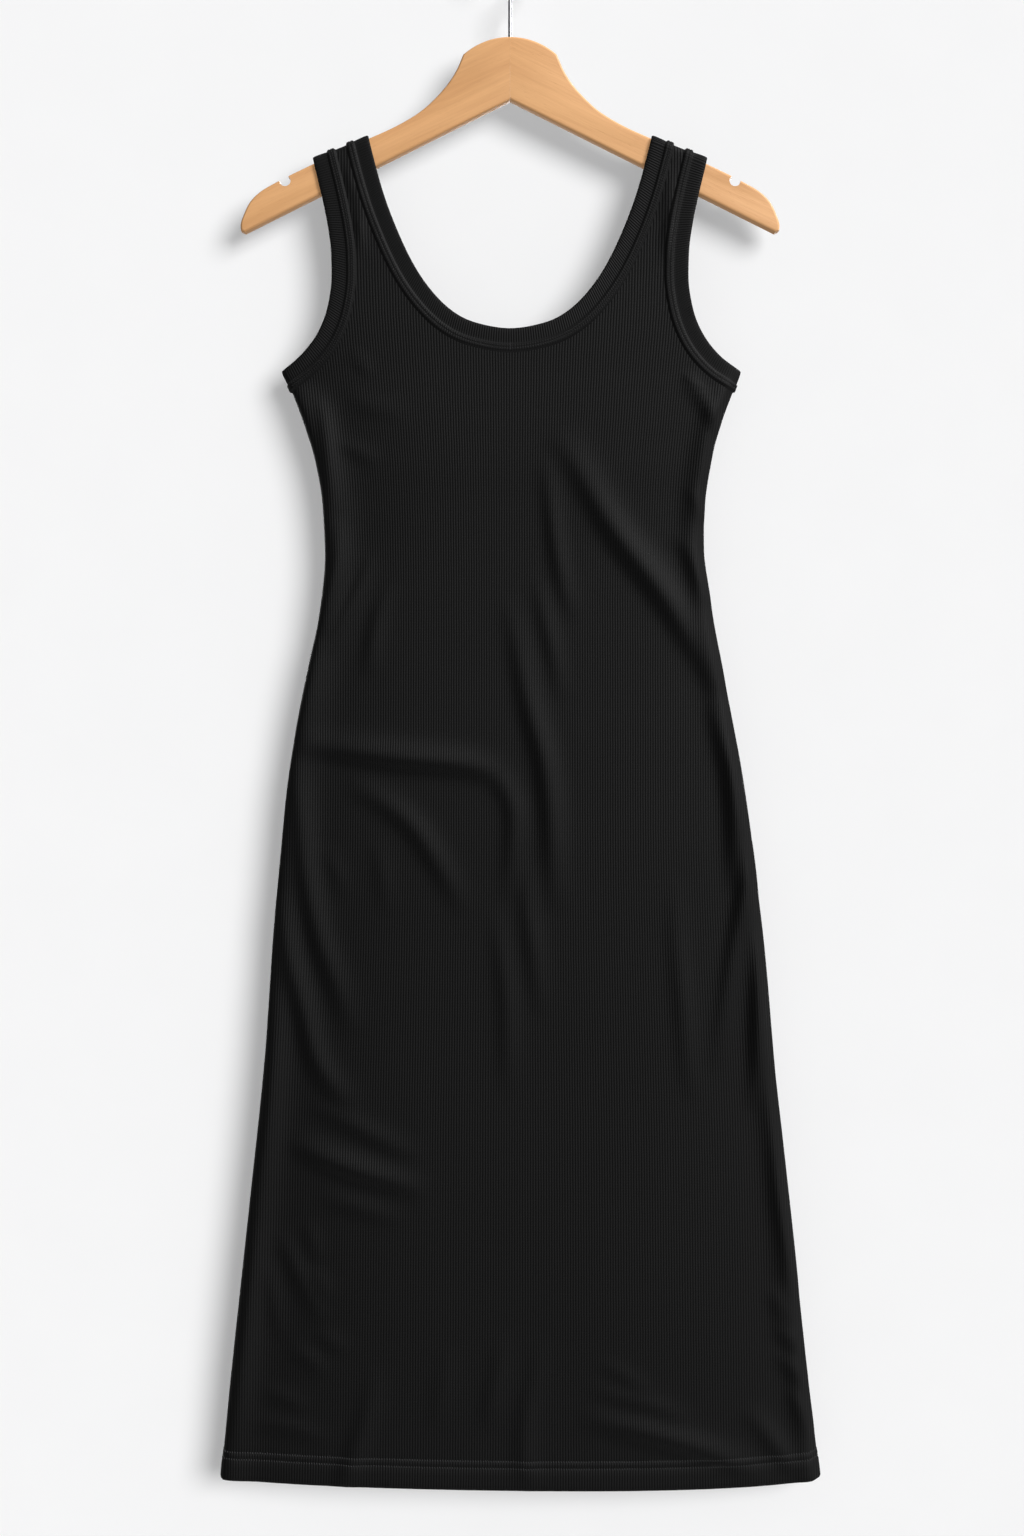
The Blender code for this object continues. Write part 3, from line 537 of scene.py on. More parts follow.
def fold_height(x, z, folds):
    """How far the folds stand out: each is a soft ridge that is steeper on its lower left."""
    total = np.zeros(x.shape)
    for height, width, peak, line in folds:
        (line_x, line_z), (run_x, run_z) = line.T, np.diff(line, axis=0).T
        reach = FOLD_REACH * width
        close = (x > line_x.min() - reach) & (x < line_x.max() + reach)
        close &= (z > line_z.min() - reach) & (z < line_z.max() + reach)
        if not close.any():
            continue
        from_x, from_z = x[close][:, None] - line_x[:-1], z[close][:, None] - line_z[:-1]
        along = (from_x * run_x + from_z * run_z) / (run_x**2 + run_z**2)
        along = np.clip(along, 0, 1)
        off_x, off_z = from_x - along * run_x, from_z - along * run_z
        near = (off_x**2 + off_z**2).argmin(axis=-1)
        at = np.arange(len(near)), near
        off_x, off_z, run_x, run_z = off_x[at], off_z[at], run_x[near], run_z[near]
        upper_right = np.sign(run_x - run_z)
        off = (run_x * off_z - run_z * off_x) / np.hypot(run_x, run_z) * upper_right
        lit = smoothstep(off, -width / 2, width / 2)
        beyond = np.hypot(off_x, off_z) / (width * (DARK_SIDE + (LIT_SIDE - DARK_SIDE) * lit))
        way = (near + along[at]) / (len(line) - 1)
        rise = np.where(way < peak, way / peak, (1 - way) / (1 - peak))
        lift = np.sin(np.clip(rise, 0, 1) * math.pi / 2)
        total[close] += height * lift * np.exp(-(beyond**2))
    return total


def side_roll(s, inside):
    """How far the cloth stands out at a way inside of the left or right side seam."""
    height, crest, outer, inner = (
        np.where(s < 0, left, right) for left, right in zip(*SIDE_ROLLS)
    )
    width = np.where(inside < crest, outer, inner)
    roll = height * np.exp(-(((inside - crest) / width) ** 2))
    return roll * smoothstep(inside, 0, crest)


def cloth_points(s, q, face):
    """Points of the cloth's outer face, in millimetres."""
    width, share = half_width(q), share_of_width(s)
    x = centre_x(q) + share * width
    foot = crown_z(x) - TURN_RISE
    z = np.minimum(q, foot)
    turn = np.clip((q - foot) / TURN_LENGTH, 0, 1) * math.pi / 2
    chest = smooth_curve(SECTION_Z, HALF_DEPTH, z)
    chest = chest * np.sqrt(np.maximum(1 - np.abs(share) ** SIDE_ROUNDING, 0))
    strap = smoothstep(z, STRAP_START_Z, STRAP_FULL_Z)
    depth = chest + (STRAP_DEPTH - chest) * strap
    beside = 1 - np.abs(s)
    depth = depth + fold_height(x, z, CRESTS[face]) * smoothstep(beside, 0, FOLD_FADE)
    roll = side_roll(s, (1 - np.abs(share)) * width)
    depth = depth + roll * (1 - smoothstep(z, SIDE_ROLL_TOP[1], SIDE_ROLL_TOP[0]))
    seam_y = SEAM_GAP / 2
    dip = SEAM_DIP * np.exp(-(((depth - seam_y) / SEAM_DIP_WIDTH) ** 2))
    x = x - np.sign(s) * np.where(z < UNDERARM_SEAM_Z, dip, 0)
    depth = seam_y + (depth - seam_y) * np.cos(turn) ** (2 / TURN_POWER)
    rise = TURN_RISE * np.sin(turn) ** (2 / TURN_POWER)
    x = x + np.sign(s) * STRAP_LEAN * rise
    return np.stack([x, face * np.maximum(depth, seam_y), z + rise], axis=-1)


def cloth_normals(s, q, face):
    """Unit vectors out of the cloth, worked out between two points close by."""
    step_s, step_q = 1e-3, 0.2
    low, high = np.clip(s - step_s, -1, 1), np.clip(s + step_s, -1, 1)
    round_way = cloth_points(high, q, face) - cloth_points(low, q, face)
    up_way = cloth_points(s, q + step_q, face) - cloth_points(s, q - step_q, face)
    return unit(np.cross(round_way, up_way) * -face)


def unit(vectors):
    return vectors / np.linalg.norm(vectors, axis=-1, keepdims=True)


def layers(s, q, face, *heights):
    """Points of the cloth at heights over its outer face, an array for each of the heights."""
    base, normals = cloth_points(s, q, face), cloth_normals(s, q, face)
    seam = face * SEAM_GAP / 2
    found = []
    for height in heights:
        points = base + np.asarray(height, float)[..., None] * normals
        points[..., 1] = face * np.maximum(face * points[..., 1], face * seam)
        on_seam = (np.abs(s) >= 1) | (q >= crown_z(points[..., 0]) - TURN_RISE + TURN_LENGTH)
        points[on_seam, 1] = seam
        found.append(points)
    return found


def rib_places(points):
    """Where each point lies in the knit: the way across the ribs and along them, in metres."""
    spread = smooth_curve(*np.array(RIB_SPREAD).T, points[:, 2])
    return np.stack([points[:, 0] * spread, points[:, 2]], axis=1) * MM


def way_along(line):
    """The way from a line's start to each of its points."""
    steps = np.linalg.norm(np.diff(line, axis=0), axis=1)
    return np.concatenate([[0], np.cumsum(steps)])


def spread(line, count, crowding=1.0):
    """Places along a line, even where crowding is 1 and nearer its start above that."""
    way = way_along(line)
    places = way[-1] * np.linspace(0, 1, count) ** crowding
    return np.stack([np.interp(places, way, line[:, k]) for k in range(line.shape[1])], axis=1)


def smooth_line(places, count):
    """Evenly spaced points on a smooth line through places."""
    places = np.array(places, float)
    way = way_along(places)
    fine = np.linspace(0, way[-1], count)
    return np.stack([smooth_curve(way, places[:, k], fine) for k in range(2)], axis=1)


def edge_line(places):
    """A dense smooth line through edge places, its corners averaged away."""
    line = smooth_line(places, EDGE_POINTS)
    kernel, skipped = np.ones(EDGE_SMOOTHING) / EDGE_SMOOTHING, EDGE_SMOOTHING // 2
    inner = [np.convolve(line[:, k], kernel, "valid") for k in range(2)]
    line[skipped:-skipped] = np.stack(inner, axis=1)
    return line


def moved_in(line, width, towards_centre):
    """The line at a constant way into the cloth."""
    tangent = np.gradient(line, axis=0)
    tangent /= np.linalg.norm(tangent, axis=1, keepdims=True)
    normal = np.stack([tangent[:, 1], -tangent[:, 0]], axis=1) * (-1 if towards_centre else 1)
    return line + width * normal


def to_the_turn(line, count, crowding=1.0):
    """Places along a line as far as the foot of the strap's turn."""
    over = line[:, 1] - (crown_z(line[:, 0]) - TURN_RISE)
    last = int(np.argmax(over > 0))
    share = -over[last - 1] / (over[last] - over[last - 1])
    foot = line[last - 1] + share * (line[last] - line[last - 1])
    return spread(np.vstack([line[:last], foot]), count, crowding)


def over_the_turn(line, rows):
    """The line with the rows that lie over the hanger added."""
    x, z = line[-1]
    turn = [(x, z + TURN_LENGTH * k / rows) for k in range(1, rows + 1)]
    return np.vstack([line, turn])


def coordinates(line, side):
    """s and q of places given as half-width and height."""
    z = np.minimum(line[:, 1], crown_z(line[:, 0]) - TURN_RISE)
    share = (line[:, 0] - side * centre_x(z)) / half_width(z)
    return np.stack([side * place_of_share(np.clip(share, 0, 1)), line[:, 1]], axis=1)


def neck_line(width, side, rows, turn_rows):
    """s and q along the neck at a way in from its free edge, from the centre line up."""
    past_centre = [(-x, z) for x, z in NECK_EDGE[NECK_OVERLAP:0:-1]]
    line = moved_in(edge_line((*past_centre, *NECK_EDGE)), width, towards_centre=False)
    line = line[line[:, 0] >= 0]
    line[0, 0] = 0
    return coordinates(over_the_turn(to_the_turn(line, rows + 1), turn_rows), side)


def armhole_line(width, side, rows, turn_rows, crowding=1.0):
    """s and q along the armhole at a way in from its free edge, from the side seam up."""
    start_z = UNDERARM_Z + (UNDERARM_SEAM_Z - UNDERARM_Z) * width / BAND_WIDTH
    seam_place = [(float(half_width(z) + side * centre_x(z)), z) for z in (UNDERARM_Z, start_z)]
    line = moved_in(edge_line((seam_place[0], *ARMHOLE_EDGE)), width, towards_centre=True)
    ease = np.clip(1 - np.linspace(0, UNDERARM_EASE, len(line)), 0, 1)[:, None] ** 2
    line = line + ease * (np.array(seam_place[1]) - line[0])
    line = coordinates(over_the_turn(to_the_turn(line, rows + 1, crowding), turn_rows), side)
    line[0] = side, start_z
    return line


CRESTS = {FRONT: crests(FRONT_FOLDS), BACK: crests(BACK_FOLDS)}

# ---- Meshes and objects


def select_only(*things):
    """Selects nothing, or one thing that becomes the active one."""
    for selected in bpy.context.selected_objects:
        selected.select_set(False)
    for thing in things:
        thing.select_set(True)
        bpy.context.view_layer.objects.active = thing


def cloth_mesh(name, points, faces, places):
    """A mesh with its place in the knit as a UV map."""
    mesh = bpy.data.meshes.new(name)
    mesh.from_pydata((points * MM).tolist(), [], faces)
    corners = np.zeros(len(mesh.loops), int)
    mesh.loops.foreach_get("vertex_index", corners)
    mesh.uv_layers.new(name="rib").data.foreach_set("uv", places[corners].ravel())
    mesh.shade_smooth()
    mesh.set_sharp_from_angle(angle=SHARP_ANGLE)
    return mesh


def turn_outwards(mesh):
    shape = bmesh.new()
    shape.from_mesh(mesh)
    bmesh.ops.recalc_face_normals(shape, faces=shape.faces)
    if shape.calc_volume(signed=True) < 0:
        bmesh.ops.reverse_faces(shape, faces=shape.faces)
    shape.to_mesh(mesh)
    shape.free()


def linked(name, data):
    """A new object in the scene."""
    made = bpy.data.objects.new(name, data)
    bpy.context.scene.collection.objects.link(made)
    return made


def finished(made, finish):
    """Gives an object of the part its material and its one body."""
    made.data.materials.clear()
    made.data.materials.append(finish)
    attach(made, "root")
    return made


class Shell:
    """A sheet of cloth with an outer and an inner face, sewn up from rows of points."""

    def __init__(self, face, wall):
        self.face, self.wall = face, wall
        self.rows, self.faces, self.count = [], [], 0

    def row(self, below, s, q, outer=0.0, inner=None):
        """Adds a row, which may have half the columns of the row below that it is sewn to."""
        inner = -self.wall if inner is None else inner
        self.rows.append(np.stack(np.broadcast_arrays(s, q, outer, inner)))
        row = list(range(self.count, self.count + len(s)))
        self.count += len(s)
        fold = (len(below) - 1) // (len(row) - 1)
        for k in range(len(row) - 1 if below else 0):
            under = below[k * fold : (k + 1) * fold + 1]
            self.faces.append([*under, row[k + 1], row[k]])
        return row

    def mesh(self, name):
        faces = self.faces if self.face == FRONT else [f[::-1] for f in self.faces]
        edges = {(a, b) for f in faces for a, b in zip(f, f[1:] + f[:1])}
        rim = [(a, b) for a, b in edges if (b, a) not in edges]
        s, q, outer, inner = np.hstack(self.rows)
        ease = WALL_AT_SEAM + (1 - WALL_AT_SEAM) * smoothstep(1 - np.abs(s), 0, WALL_EASE)
        points = np.vstack(layers(s, q, self.face, outer, outer + (inner - outer) * ease))
        n = self.count
        inside = [[v + n for v in reversed(f)] for f in faces]
        walls = [[b, a, a + n, b + n] for a, b in sorted(rim)]
        places = np.tile(rib_places(points[:n]), (2, 1))
        return cloth_mesh(name, points, faces + inside + walls, places)


def body_rows(wall):
    """Rows of s, q and two wall heights, from the hem to the underarm."""
    hem = [HEM_SIDE_Z + up for up, _, _ in HEM_SECTION]
    top = UNDERARM_SEAM_Z - SEAM_GAP
    steps = round((top - hem[-1]) / ROW_HEIGHT)
    side_z = hem + [hem[-1] + (top - hem[-1]) * k / steps for k in range(1, steps + 1)]
    s = np.linspace(-1, 1, 2 * PANEL_COLUMNS + 1)
    for k, z in enumerate(side_z):
        outer, inner = HEM_SECTION[k][1:] if k < len(HEM_SECTION) else (0.0, -wall)
        yield s, row_height(s, z), outer, inner


def row_height(s, side_z):
    """Height at each place of a row of the skirt that meets the side seams at a height."""
    way = (side_z - HEM_SIDE_Z) / (UNDERARM_SEAM_Z - HEM_SIDE_Z)
    drop = (HEM_CENTRE_Z - HEM_SIDE_Z) * (1 - way) + CENTRE_OVER_SIDE * way
    across = s - HEM_SKEW * (1 - way) * (1 - s * s)
    corner = HEM_CORNER * np.exp((np.abs(s) - 1) / HEM_CORNER_SPAN)
    corner *= smoothstep(HEM_SIDE_Z + HEM_HEIGHT - side_z, 0, HEM_HEIGHT)
    bend = 1 + way / 2  # the rows leave the side seams flatter towards the underarm
    return side_z + drop * (1 - across**2) ** bend + corner


def panel(name, face, wall, finish):
    """A front or back, cut in one from the hem to both shoulders."""
    shell, below = Shell(face, wall), []
    for heights in body_rows(wall):
        below = shell.row(below, *heights)
    edge = BAND_WIDTH + SEAM_GAP
    rows = UNDERARM_ROWS + STRAP_ROWS
    neck, armhole = {}, {}
    for side in (LEFT, RIGHT):
        neck[side] = neck_line(edge, side, STRAP_ROWS, PANEL_TURN_ROWS)
        armhole[side] = armhole_line(edge, side, rows, PANEL_TURN_ROWS, UNDERARM_CROWDING)
    centre_from = UNDERARM_SEAM_Z + CENTRE_OVER_SIDE
    t = np.linspace(0, 1, PANEL_COLUMNS + 1)
    for k in range(1, UNDERARM_ROWS + 1):
        centre_q = centre_from + (neck[RIGHT][0, 1] - centre_from) * k / UNDERARM_ROWS
        bow = 2 - k / UNDERARM_ROWS  # the rows straighten towards the neck
        left, right = (
            np.stack([end_s * t, centre_q + (end_q - centre_q) * t**bow])
            for end_s, end_q in (armhole[LEFT][k], armhole[RIGHT][k])
        )
        below = shell.row(below, *np.hstack([left[:, ::-1], right[:, 1:]]))
    middle = len(below) // 2
    for side, last in ((LEFT, below[: middle + 1]), (RIGHT, below[middle:])):
        across = PANEL_COLUMNS
        for k, start in enumerate(neck[side][1:], 1):
            across //= 2 if k in HALVED_AT else 1
            t = np.linspace(0, 1, across + 1)[:, None]
            places = start + (armhole[side][UNDERARM_ROWS + k] - start) * t
            last = shell.row(last, *places[::side].T)
    return finished(linked(name, shell.mesh(name)), finish)


def band_length(lines, face):
    """Length of a band along its middle, in millimetres."""
    s, q = ((lines[0] + lines[1]) / 2).T
    return float(way_along(cloth_points(s, q, face))[-1])


def band_lines(kind, face, side, sizes):
    """The free edge and the seam of a band, at stations a part of a rib apart."""
    step = sizes.rib_pitch / MM / RIB_STEPS

    def lines(rows, turn_rows):
        edges = []
        for width in (0, BAND_WIDTH):
            if kind == "armhole":
                edges.append(armhole_line(width, side, rows, turn_rows))
            else:
                left, right = (neck_line(width, way, rows, turn_rows) for way in (LEFT, RIGHT))
                edges.append(np.vstack([left[:0:-1], right]))
        return edges

    length = band_length(lines(*COARSE_ROWS), face)
    halves = 2 if kind == "neck" else 1
    return lines(round((length / halves - TURN_LENGTH) / step), round(TURN_LENGTH / step))


def bands_of(word, face, sizes):
    """The kind, the name's ending and the lines of each band on the front or back."""
    yield "neck", word, band_lines("neck", face, None, sizes)
    for side_word, side in SIDES.items():
        yield "armhole", f"{word}_{side_word}", band_lines("armhole", face, side, sizes)


def tube_faces(stations, around, first=0):
    """Faces of a closed tube of rings of points that follow one another."""
    faces = []
    for low in range(first, first + (stations - 1) * around, around):
        for k in range(around):
            a, b = low + k, low + (k + 1) % around
            faces.append([a, b, b + around, a + around])
    faces.append([first + k for k in reversed(range(around))])
    faces.append([low + around + k for k in range(around)])
    return faces


def sewn(name, points, faces, places, finish):
    """A piece of a band or its stitching, its faces turned outwards."""
    mesh = cloth_mesh(name, points, faces, places)
    turn_outwards(mesh)
    return finished(linked(name, mesh), finish)


def band(name, lines, face, sizes, finish):
    """A binding with ribs across it, a stitched groove and a raised welt."""
    free, seam = lines
    across, height = np.array(BAND_SECTION).T
    stations, around = len(free), len(across)
    ridge = np.sqrt(0.5 + 0.5 * np.cos(2 * math.pi * np.arange(stations) / RIB_STEPS))
    plain = smoothstep(across, *RIB_END)
    ribbed = 1 - (1 - WELT_RIB_DEPTH) * plain
    inwards = np.where(height > 0, 1.0, INSIDE_RIB_DEPTH)
    cut = (1 - ridge)[:, None] * (ribbed * inwards)[None] * sizes.band_rib_depth / MM
    part = across / BAND_WIDTH
    s, q = (free[:, k, None] + (seam - free)[:, k, None] * part for k in range(2))
    points = layers(s, q, face, height - cut)[0]
    way = np.arange(stations) * sizes.rib_pitch / RIB_STEPS
    places = np.stack(np.broadcast_arrays(way[:, None], across * MM), axis=-1)
    faces = tube_faces(stations, around)
    return sewn(name, points.reshape(-1, 3), faces, places.reshape(-1, 2), finish)


def stitches(name, lines, slant, sizes, finish):
    """Rows of short stitches along lines of points, each with its normals, in one mesh."""
    rings = np.array(STITCH_RINGS)
    angle = np.arange(STITCH_SIDES) * 2 * math.pi / STITCH_SIDES
    length, radius = sizes.stitch_length / MM, sizes.thread / MM / 2
    points, faces = [], []
    for line, normals in lines:
        way = way_along(line)
        count = int(way[-1] / (sizes.stitch_pitch / MM))
        even = (np.arange(count) + 0.5) / count * way[-1]
        place, ahead, out = (
            np.stack([np.interp(at, way, values[:, k]) for k in range(3)], axis=1)
            for at, values in ((even, line), (even + 0.5, line), (even, normals))
        )
        along = unit(ahead - place)
        over = unit(np.cross(along, out))
        out = np.cross(over, along)
        along = along * math.cos(slant) + over * math.sin(slant)
        over = np.cross(along, out)
        for middle, a, b, c in zip(place, along, over, out):
            first = len(points) * STITCH_SIDES
            circle = np.cos(angle)[:, None] * b + np.sin(angle)[:, None] * c
            points += [middle + a * t * length + radius * r * circle for t, r in rings]
            faces += tube_faces(len(rings), STITCH_SIDES, first)
    points = np.vstack(points)
    return sewn(name, points, faces, points[:, :2] * MM, finish)


def seam_row(s, q, face, height):
    """A line on the cloth with its normals, for a row of stitches."""
    return layers(s, q, face, np.full(len(s), height))[0], cloth_normals(s, q, face)


# ---- Finishes


class Nodes:
    """A node tree of a material or a world, whose nodes are added one after another."""

    def __init__(self, owner):
        owner.use_nodes = True
        self.owner, self.tree = owner, owner.node_tree

    def add(self, kind, inputs=None, **settings):
        made = self.tree.nodes.new(f"ShaderNode{kind}")
        for key, value in settings.items():
            setattr(made, key, value)
        self.feed(made, inputs or {})
        return made

    def feed(self, made, inputs):
        for key, value in inputs.items():
            if isinstance(value, bpy.types.NodeSocket):
                self.tree.links.new(value, made.inputs[key])
            else:
                made.inputs[key].default_value = value

    def shaded(self, inputs):
        """The material itself, once its shader is fed."""
        self.feed(self.tree.nodes["Principled BSDF"], inputs)
        return self.owner

    def math(self, operation, *values):
        return self.add("Math", dict(enumerate(values)), operation=operation).outputs[0]

    def total(self, *parts):
        """The sum of values, each times its own weight."""
        first, *rest = (self.math("MULTIPLY", value, weight) for value, weight in parts)
        for term in rest:
            first = self.math("ADD", first, term)
        return first

    def fitted(self, *values):
        """A value brought from one range into another: value, low, high, new low, new high."""
        names = ("Value", "From Min", "From Max", "To Min", "To Max")
        return self.add("MapRange", dict(zip(names, values))).outputs[0]

    def mix(self, share, first, second):
        inputs = {0: share, 6: first, 7: second}
        return self.add("Mix", inputs, data_type="RGBA").outputs[2]

    def noise(self, vector, scale, detail=2.0, roughness=0.5):
        inputs = {"Vector": vector, "Scale": scale, "Detail": detail, "Roughness": roughness}
        return self.add("TexNoise", inputs).outputs["Fac"]

    def mapped(self, vector, **inputs):
        inputs = {key.title(): value for key, value in inputs.items()}
        return self.add("Mapping", {"Vector": vector, **inputs}).outputs[0]

    def bump(self, height, distance, strength):
        inputs = {"Strength": strength, "Distance": distance, "Height": height}
        return self.add("Bump", inputs).outputs[0]

    def object_places(self):
        return self.add("TexCoord").outputs["Object"]


def colour(values, share=1.0):
    return (*(share * v for v in values), 1)


def rib_knit(name, tone, sizes, ribs_in_mesh=False):
    """Fine rib knit: rounded ribs with narrow valleys painted darker as shade, small loops
    along each rib.
    """
    finish = Nodes(bpy.data.materials.new(name))
    places = finish.add("SeparateXYZ", {0: finish.add("UVMap", uv_map="rib").outputs[0]})
    where = finish.object_places()
    ribs = finish.math("MULTIPLY", places.outputs["X"], 2 * math.pi / sizes.rib_pitch)
    if not ribs_in_mesh:
        drift = finish.fitted(finish.noise(where, 60), 0, 1, -RIB_DRIFT, RIB_DRIFT)
        ribs = finish.math("ADD", ribs, drift)
    wave = finish.fitted(finish.math("COSINE", ribs), -1, 1, 0, 1)
    ridge = finish.math("POWER", wave, RIB_ROUNDING)
    half_turn = finish.math("ABSOLUTE", finish.math("SINE", finish.math("MULTIPLY", ribs, 0.5)))
    loop_turns = 2 * math.pi / (LOOP_LENGTH * sizes.rib_pitch)
    slanted = finish.total((places.outputs["Y"], loop_turns), (half_turn, LOOP_SLANT))
    loops = finish.fitted(finish.math("COSINE", slanted), -1, 1, 0, 1)
    fuzz = finish.noise(where, FUZZ_SCALE, detail=3, roughness=0.6)
    rib_relief = 0.15 if ribs_in_mesh else 1.0
    relief = finish.total((ridge, rib_relief), (loops, LOOP_RELIEF), (fuzz, FUZZ_RELIEF))
    # Share of the knit's colour left at the bottom of a valley: painted shade in the recess
    # between the ribs.
    valley = 0.35 if ribs_in_mesh else 0.25
    wear = finish.fitted(finish.noise(where, 9, detail=3), 0.3, 0.7, 0.9, 1.08)
    # The base colour darkens from each rib's crest into its valley as painted shade. It also
    # varies in slow patches of wear, and a little with the loops.
    depth = finish.math("MULTIPLY", finish.fitted(ridge, 0, 1, valley, 1.0), wear)
    depth = finish.math("MULTIPLY", depth, finish.fitted(loops, 0, 1, 0.88, 1.04))
    return finish.shaded({
        "Base Color": finish.mix(depth, colour(tone, 0), colour(tone, 1.25)),
        "Roughness": finish.fitted(fuzz, 0.2, 0.8, 0.52, 0.7),
        "Normal": finish.bump(relief, sizes.rib_depth, strength=1),
        "Specular IOR Level": 0.12,
        "Sheen Weight": 0.06,
        "Sheen Roughness": 0.45,
        "Sheen Tint": WHITE,
    })


def sewing_thread(name, tone):
    finish = Nodes(bpy.data.materials.new(name))
    twist = finish.noise(finish.object_places(), 1800)
    return finish.shaded({
        "Base Color": finish.mix(twist, colour(tone, 0.7), colour(tone, 1.3)),
        "Roughness": 0.55,
        "Specular IOR Level": 0.35,
        "Normal": finish.bump(twist, 0.1 * MM, strength=0.6),
    })


def lacquered_wood(name, light, dark, slope):
    """Pale close-grained wood, its grain along an arm that slopes to one side."""
    finish = Nodes(bpy.data.materials.new(name))
    turned = finish.mapped(finish.object_places(), rotation=(0, slope, 0))
    streaks, fibres, flecks = (
        finish.noise(finish.mapped(turned, scale=scale), 1, detail, roughness)
        for scale, detail, roughness in (
            ((5, 60, 95), 3, 0.55), ((28, 420, 620), 2, 0.6), ((130, 1400, 1400), 1, 0.5),
        )
    )
    broad = finish.fitted(streaks, 0.32, 0.68, 0, 1)
    fine = finish.fitted(fibres, 0.3, 0.7, 0, 1)
    fleck = finish.fitted(flecks, 0.66, 0.74, 0, 1)
    share = finish.total((broad, 0.55), (fine, 0.3), (fleck, 0.25))
    relief = finish.total((fine, 1), (fleck, -0.8))
    return finish.shaded({
        "Base Color": finish.mix(share, colour(light), colour(dark)),
        "Roughness": finish.fitted(fine, 0, 1, 0.42, 0.56),
        "Normal": finish.bump(relief, 0.12 * MM, strength=0.35),
        "Specular IOR Level": 0.4,
        "Coat Weight": 0.08,
        "Coat Roughness": 0.3,
    })


def drawn_steel(name, tone):
    finish = Nodes(bpy.data.materials.new(name))
    marks = finish.noise(finish.mapped(finish.object_places(), scale=(2600, 2600, 160)), 1)
    return finish.shaded({
        "Base Color": finish.mix(marks, colour(tone, 0.8), colour(tone, 1.1)),
        "Metallic": 1,
        "Roughness": finish.fitted(marks, 0.3, 0.7, 0.24, 0.4),
        "Normal": finish.bump(marks, 0.05 * MM, strength=0.25),
    })


def backdrop(name, tone, one_sided):
    """Matt pale paint with a faint mottle; a one-sided wall isn't seen from behind."""
    finish = Nodes(bpy.data.materials.new(name))
    mottle = finish.noise(finish.object_places(), 14, detail=4)
    paint = finish.shaded({
        "Base Color": finish.mix(mottle, colour(tone, 0.985), colour(tone, 1.01)),
        "Roughness": 0.9,
        "Specular IOR Level": 0.1,
    })
    if one_sided:
        nodes = finish.tree.nodes
        behind = finish.add("NewGeometry").outputs["Backfacing"]
        clear = finish.add("BsdfTransparent").outputs[0]
        front = nodes["Principled BSDF"].outputs[0]
        shown = finish.add("MixShader", {0: behind, 1: front, 2: clear})
        finish.feed(nodes["Material Output"], {"Surface": shown.outputs[0]})
    return paint


# ---- Operators


class DRESS_OT_panels(bpy.types.Operator):
    """Makes the front and back of the dress as thin shells with their folds."""

    bl_idname = "dress.panels"
    bl_label = "Front and back"

    def execute(self, context):
        sizes, colours = context.scene.dress_sizes, context.scene.dress_colours
        finish = rib_knit("black_rib_knit_cloth", colours.knit, sizes)
        for word, face in FACES.items():
            made = panel(f"{word}_cloth", face, sizes.wall / MM, finish)
            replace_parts(made, f"{word}_panel")
        return {"FINISHED"}


class DRESS_OT_bands(bpy.types.Operator):
    """Makes the neck and armhole bands, with their ribs, groove and welt."""

    bl_idname = "dress.bands"
    bl_label = "Bands"

    def execute(self, context):
        sizes, colours = context.scene.dress_sizes, context.scene.dress_colours
        finish = rib_knit("black_rib_binding_cloth", colours.binding, sizes, ribs_in_mesh=True)
        for word, face in FACES.items():
            for kind, place, lines in bands_of(word, face, sizes):
                made = band(f"{kind}_{place}_binding", lines, face, sizes, finish)
                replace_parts(made, f"{kind}_band_{place}")
                round(band_length(lines, face) * MM, 3)
        return {"FINISHED"}


class DRESS_OT_stitching(bpy.types.Operator):
    """Makes the two rows of stitches round the hem and the two along each band's welt."""

    bl_idname = "dress.stitching"
    bl_label = "Stitching"

    def execute(self, context):
        sizes, colours = context.scene.dress_sizes, context.scene.dress_colours
        hem_finish = sewing_thread("black_hem_thread", colours.thread)
        band_finish = sewing_thread("black_band_thread", colours.band_thread)
        hem_s = np.linspace(-1, 1, STITCH_POINTS)[2:-2]
        hem_heights = np.interp(HEM_STITCH_ROWS, *np.array(HEM_SECTION).T[:2]) + STITCH_RISE
        welt_heights = np.interp(WELT_STITCH_ROWS, *np.array(BAND_SECTION[:BAND_TOP_PLACES]).T)
        for word, face in FACES.items():
            rows = [
                seam_row(hem_s, row_height(hem_s, HEM_SIDE_Z + up), face, height)
                for up, height in zip(HEM_STITCH_ROWS, hem_heights)
            ]
            stitches(f"hem_{word}_stitches", rows, HEM_STITCH_SLANT, sizes, hem_finish)
            rows = []
            for _, _, (free, seam) in bands_of(word, face, sizes):
                for across, height in zip(WELT_STITCH_ROWS, welt_heights):
                    place = (free + (seam - free) * across / BAND_WIDTH)[::2]
                    rows.append(seam_row(*place.T, face, height))
            stitches(f"band_{word}_stitches", rows, WELT_STITCH_SLANT, sizes, band_finish)
        return {"FINISHED"}


def arm_outline():
    """Half-widths and heights round one hanger arm, from the mitre's top to its foot."""
    mitre_x = MITRE_GAP / 2
    angles = np.linspace(0, math.asin(HEAD_SPAN / HEAD_RADIUS), HEAD_STEPS)
    centre_z = HEAD_TOP_Z - HEAD_RADIUS
    head = np.stack([HEAD_RADIUS * np.sin(angles), centre_z + HEAD_RADIUS * np.cos(angles)], 1)
    head[0, 0] = mitre_x
    flank = np.array((head[-1], *FLANK, *ARM_TOP, *TIP))
    flank = smooth_line(flank, round(way_along(flank)[-1] / OUTLINE_STEP))
    return [*map(tuple, head[:-1]), *map(tuple, flank), ARM_FOOT, (mitre_x, APEX_Z)]


def applied(thing, kind, **settings):
    """Adds a modifier with its settings and applies it."""
    select_only(thing)
    made = thing.modifiers.new(kind.title(), kind)
    for key, value in settings.items():
        setattr(made, key, value)
    bpy.ops.object.modifier_apply(modifier=made.name)


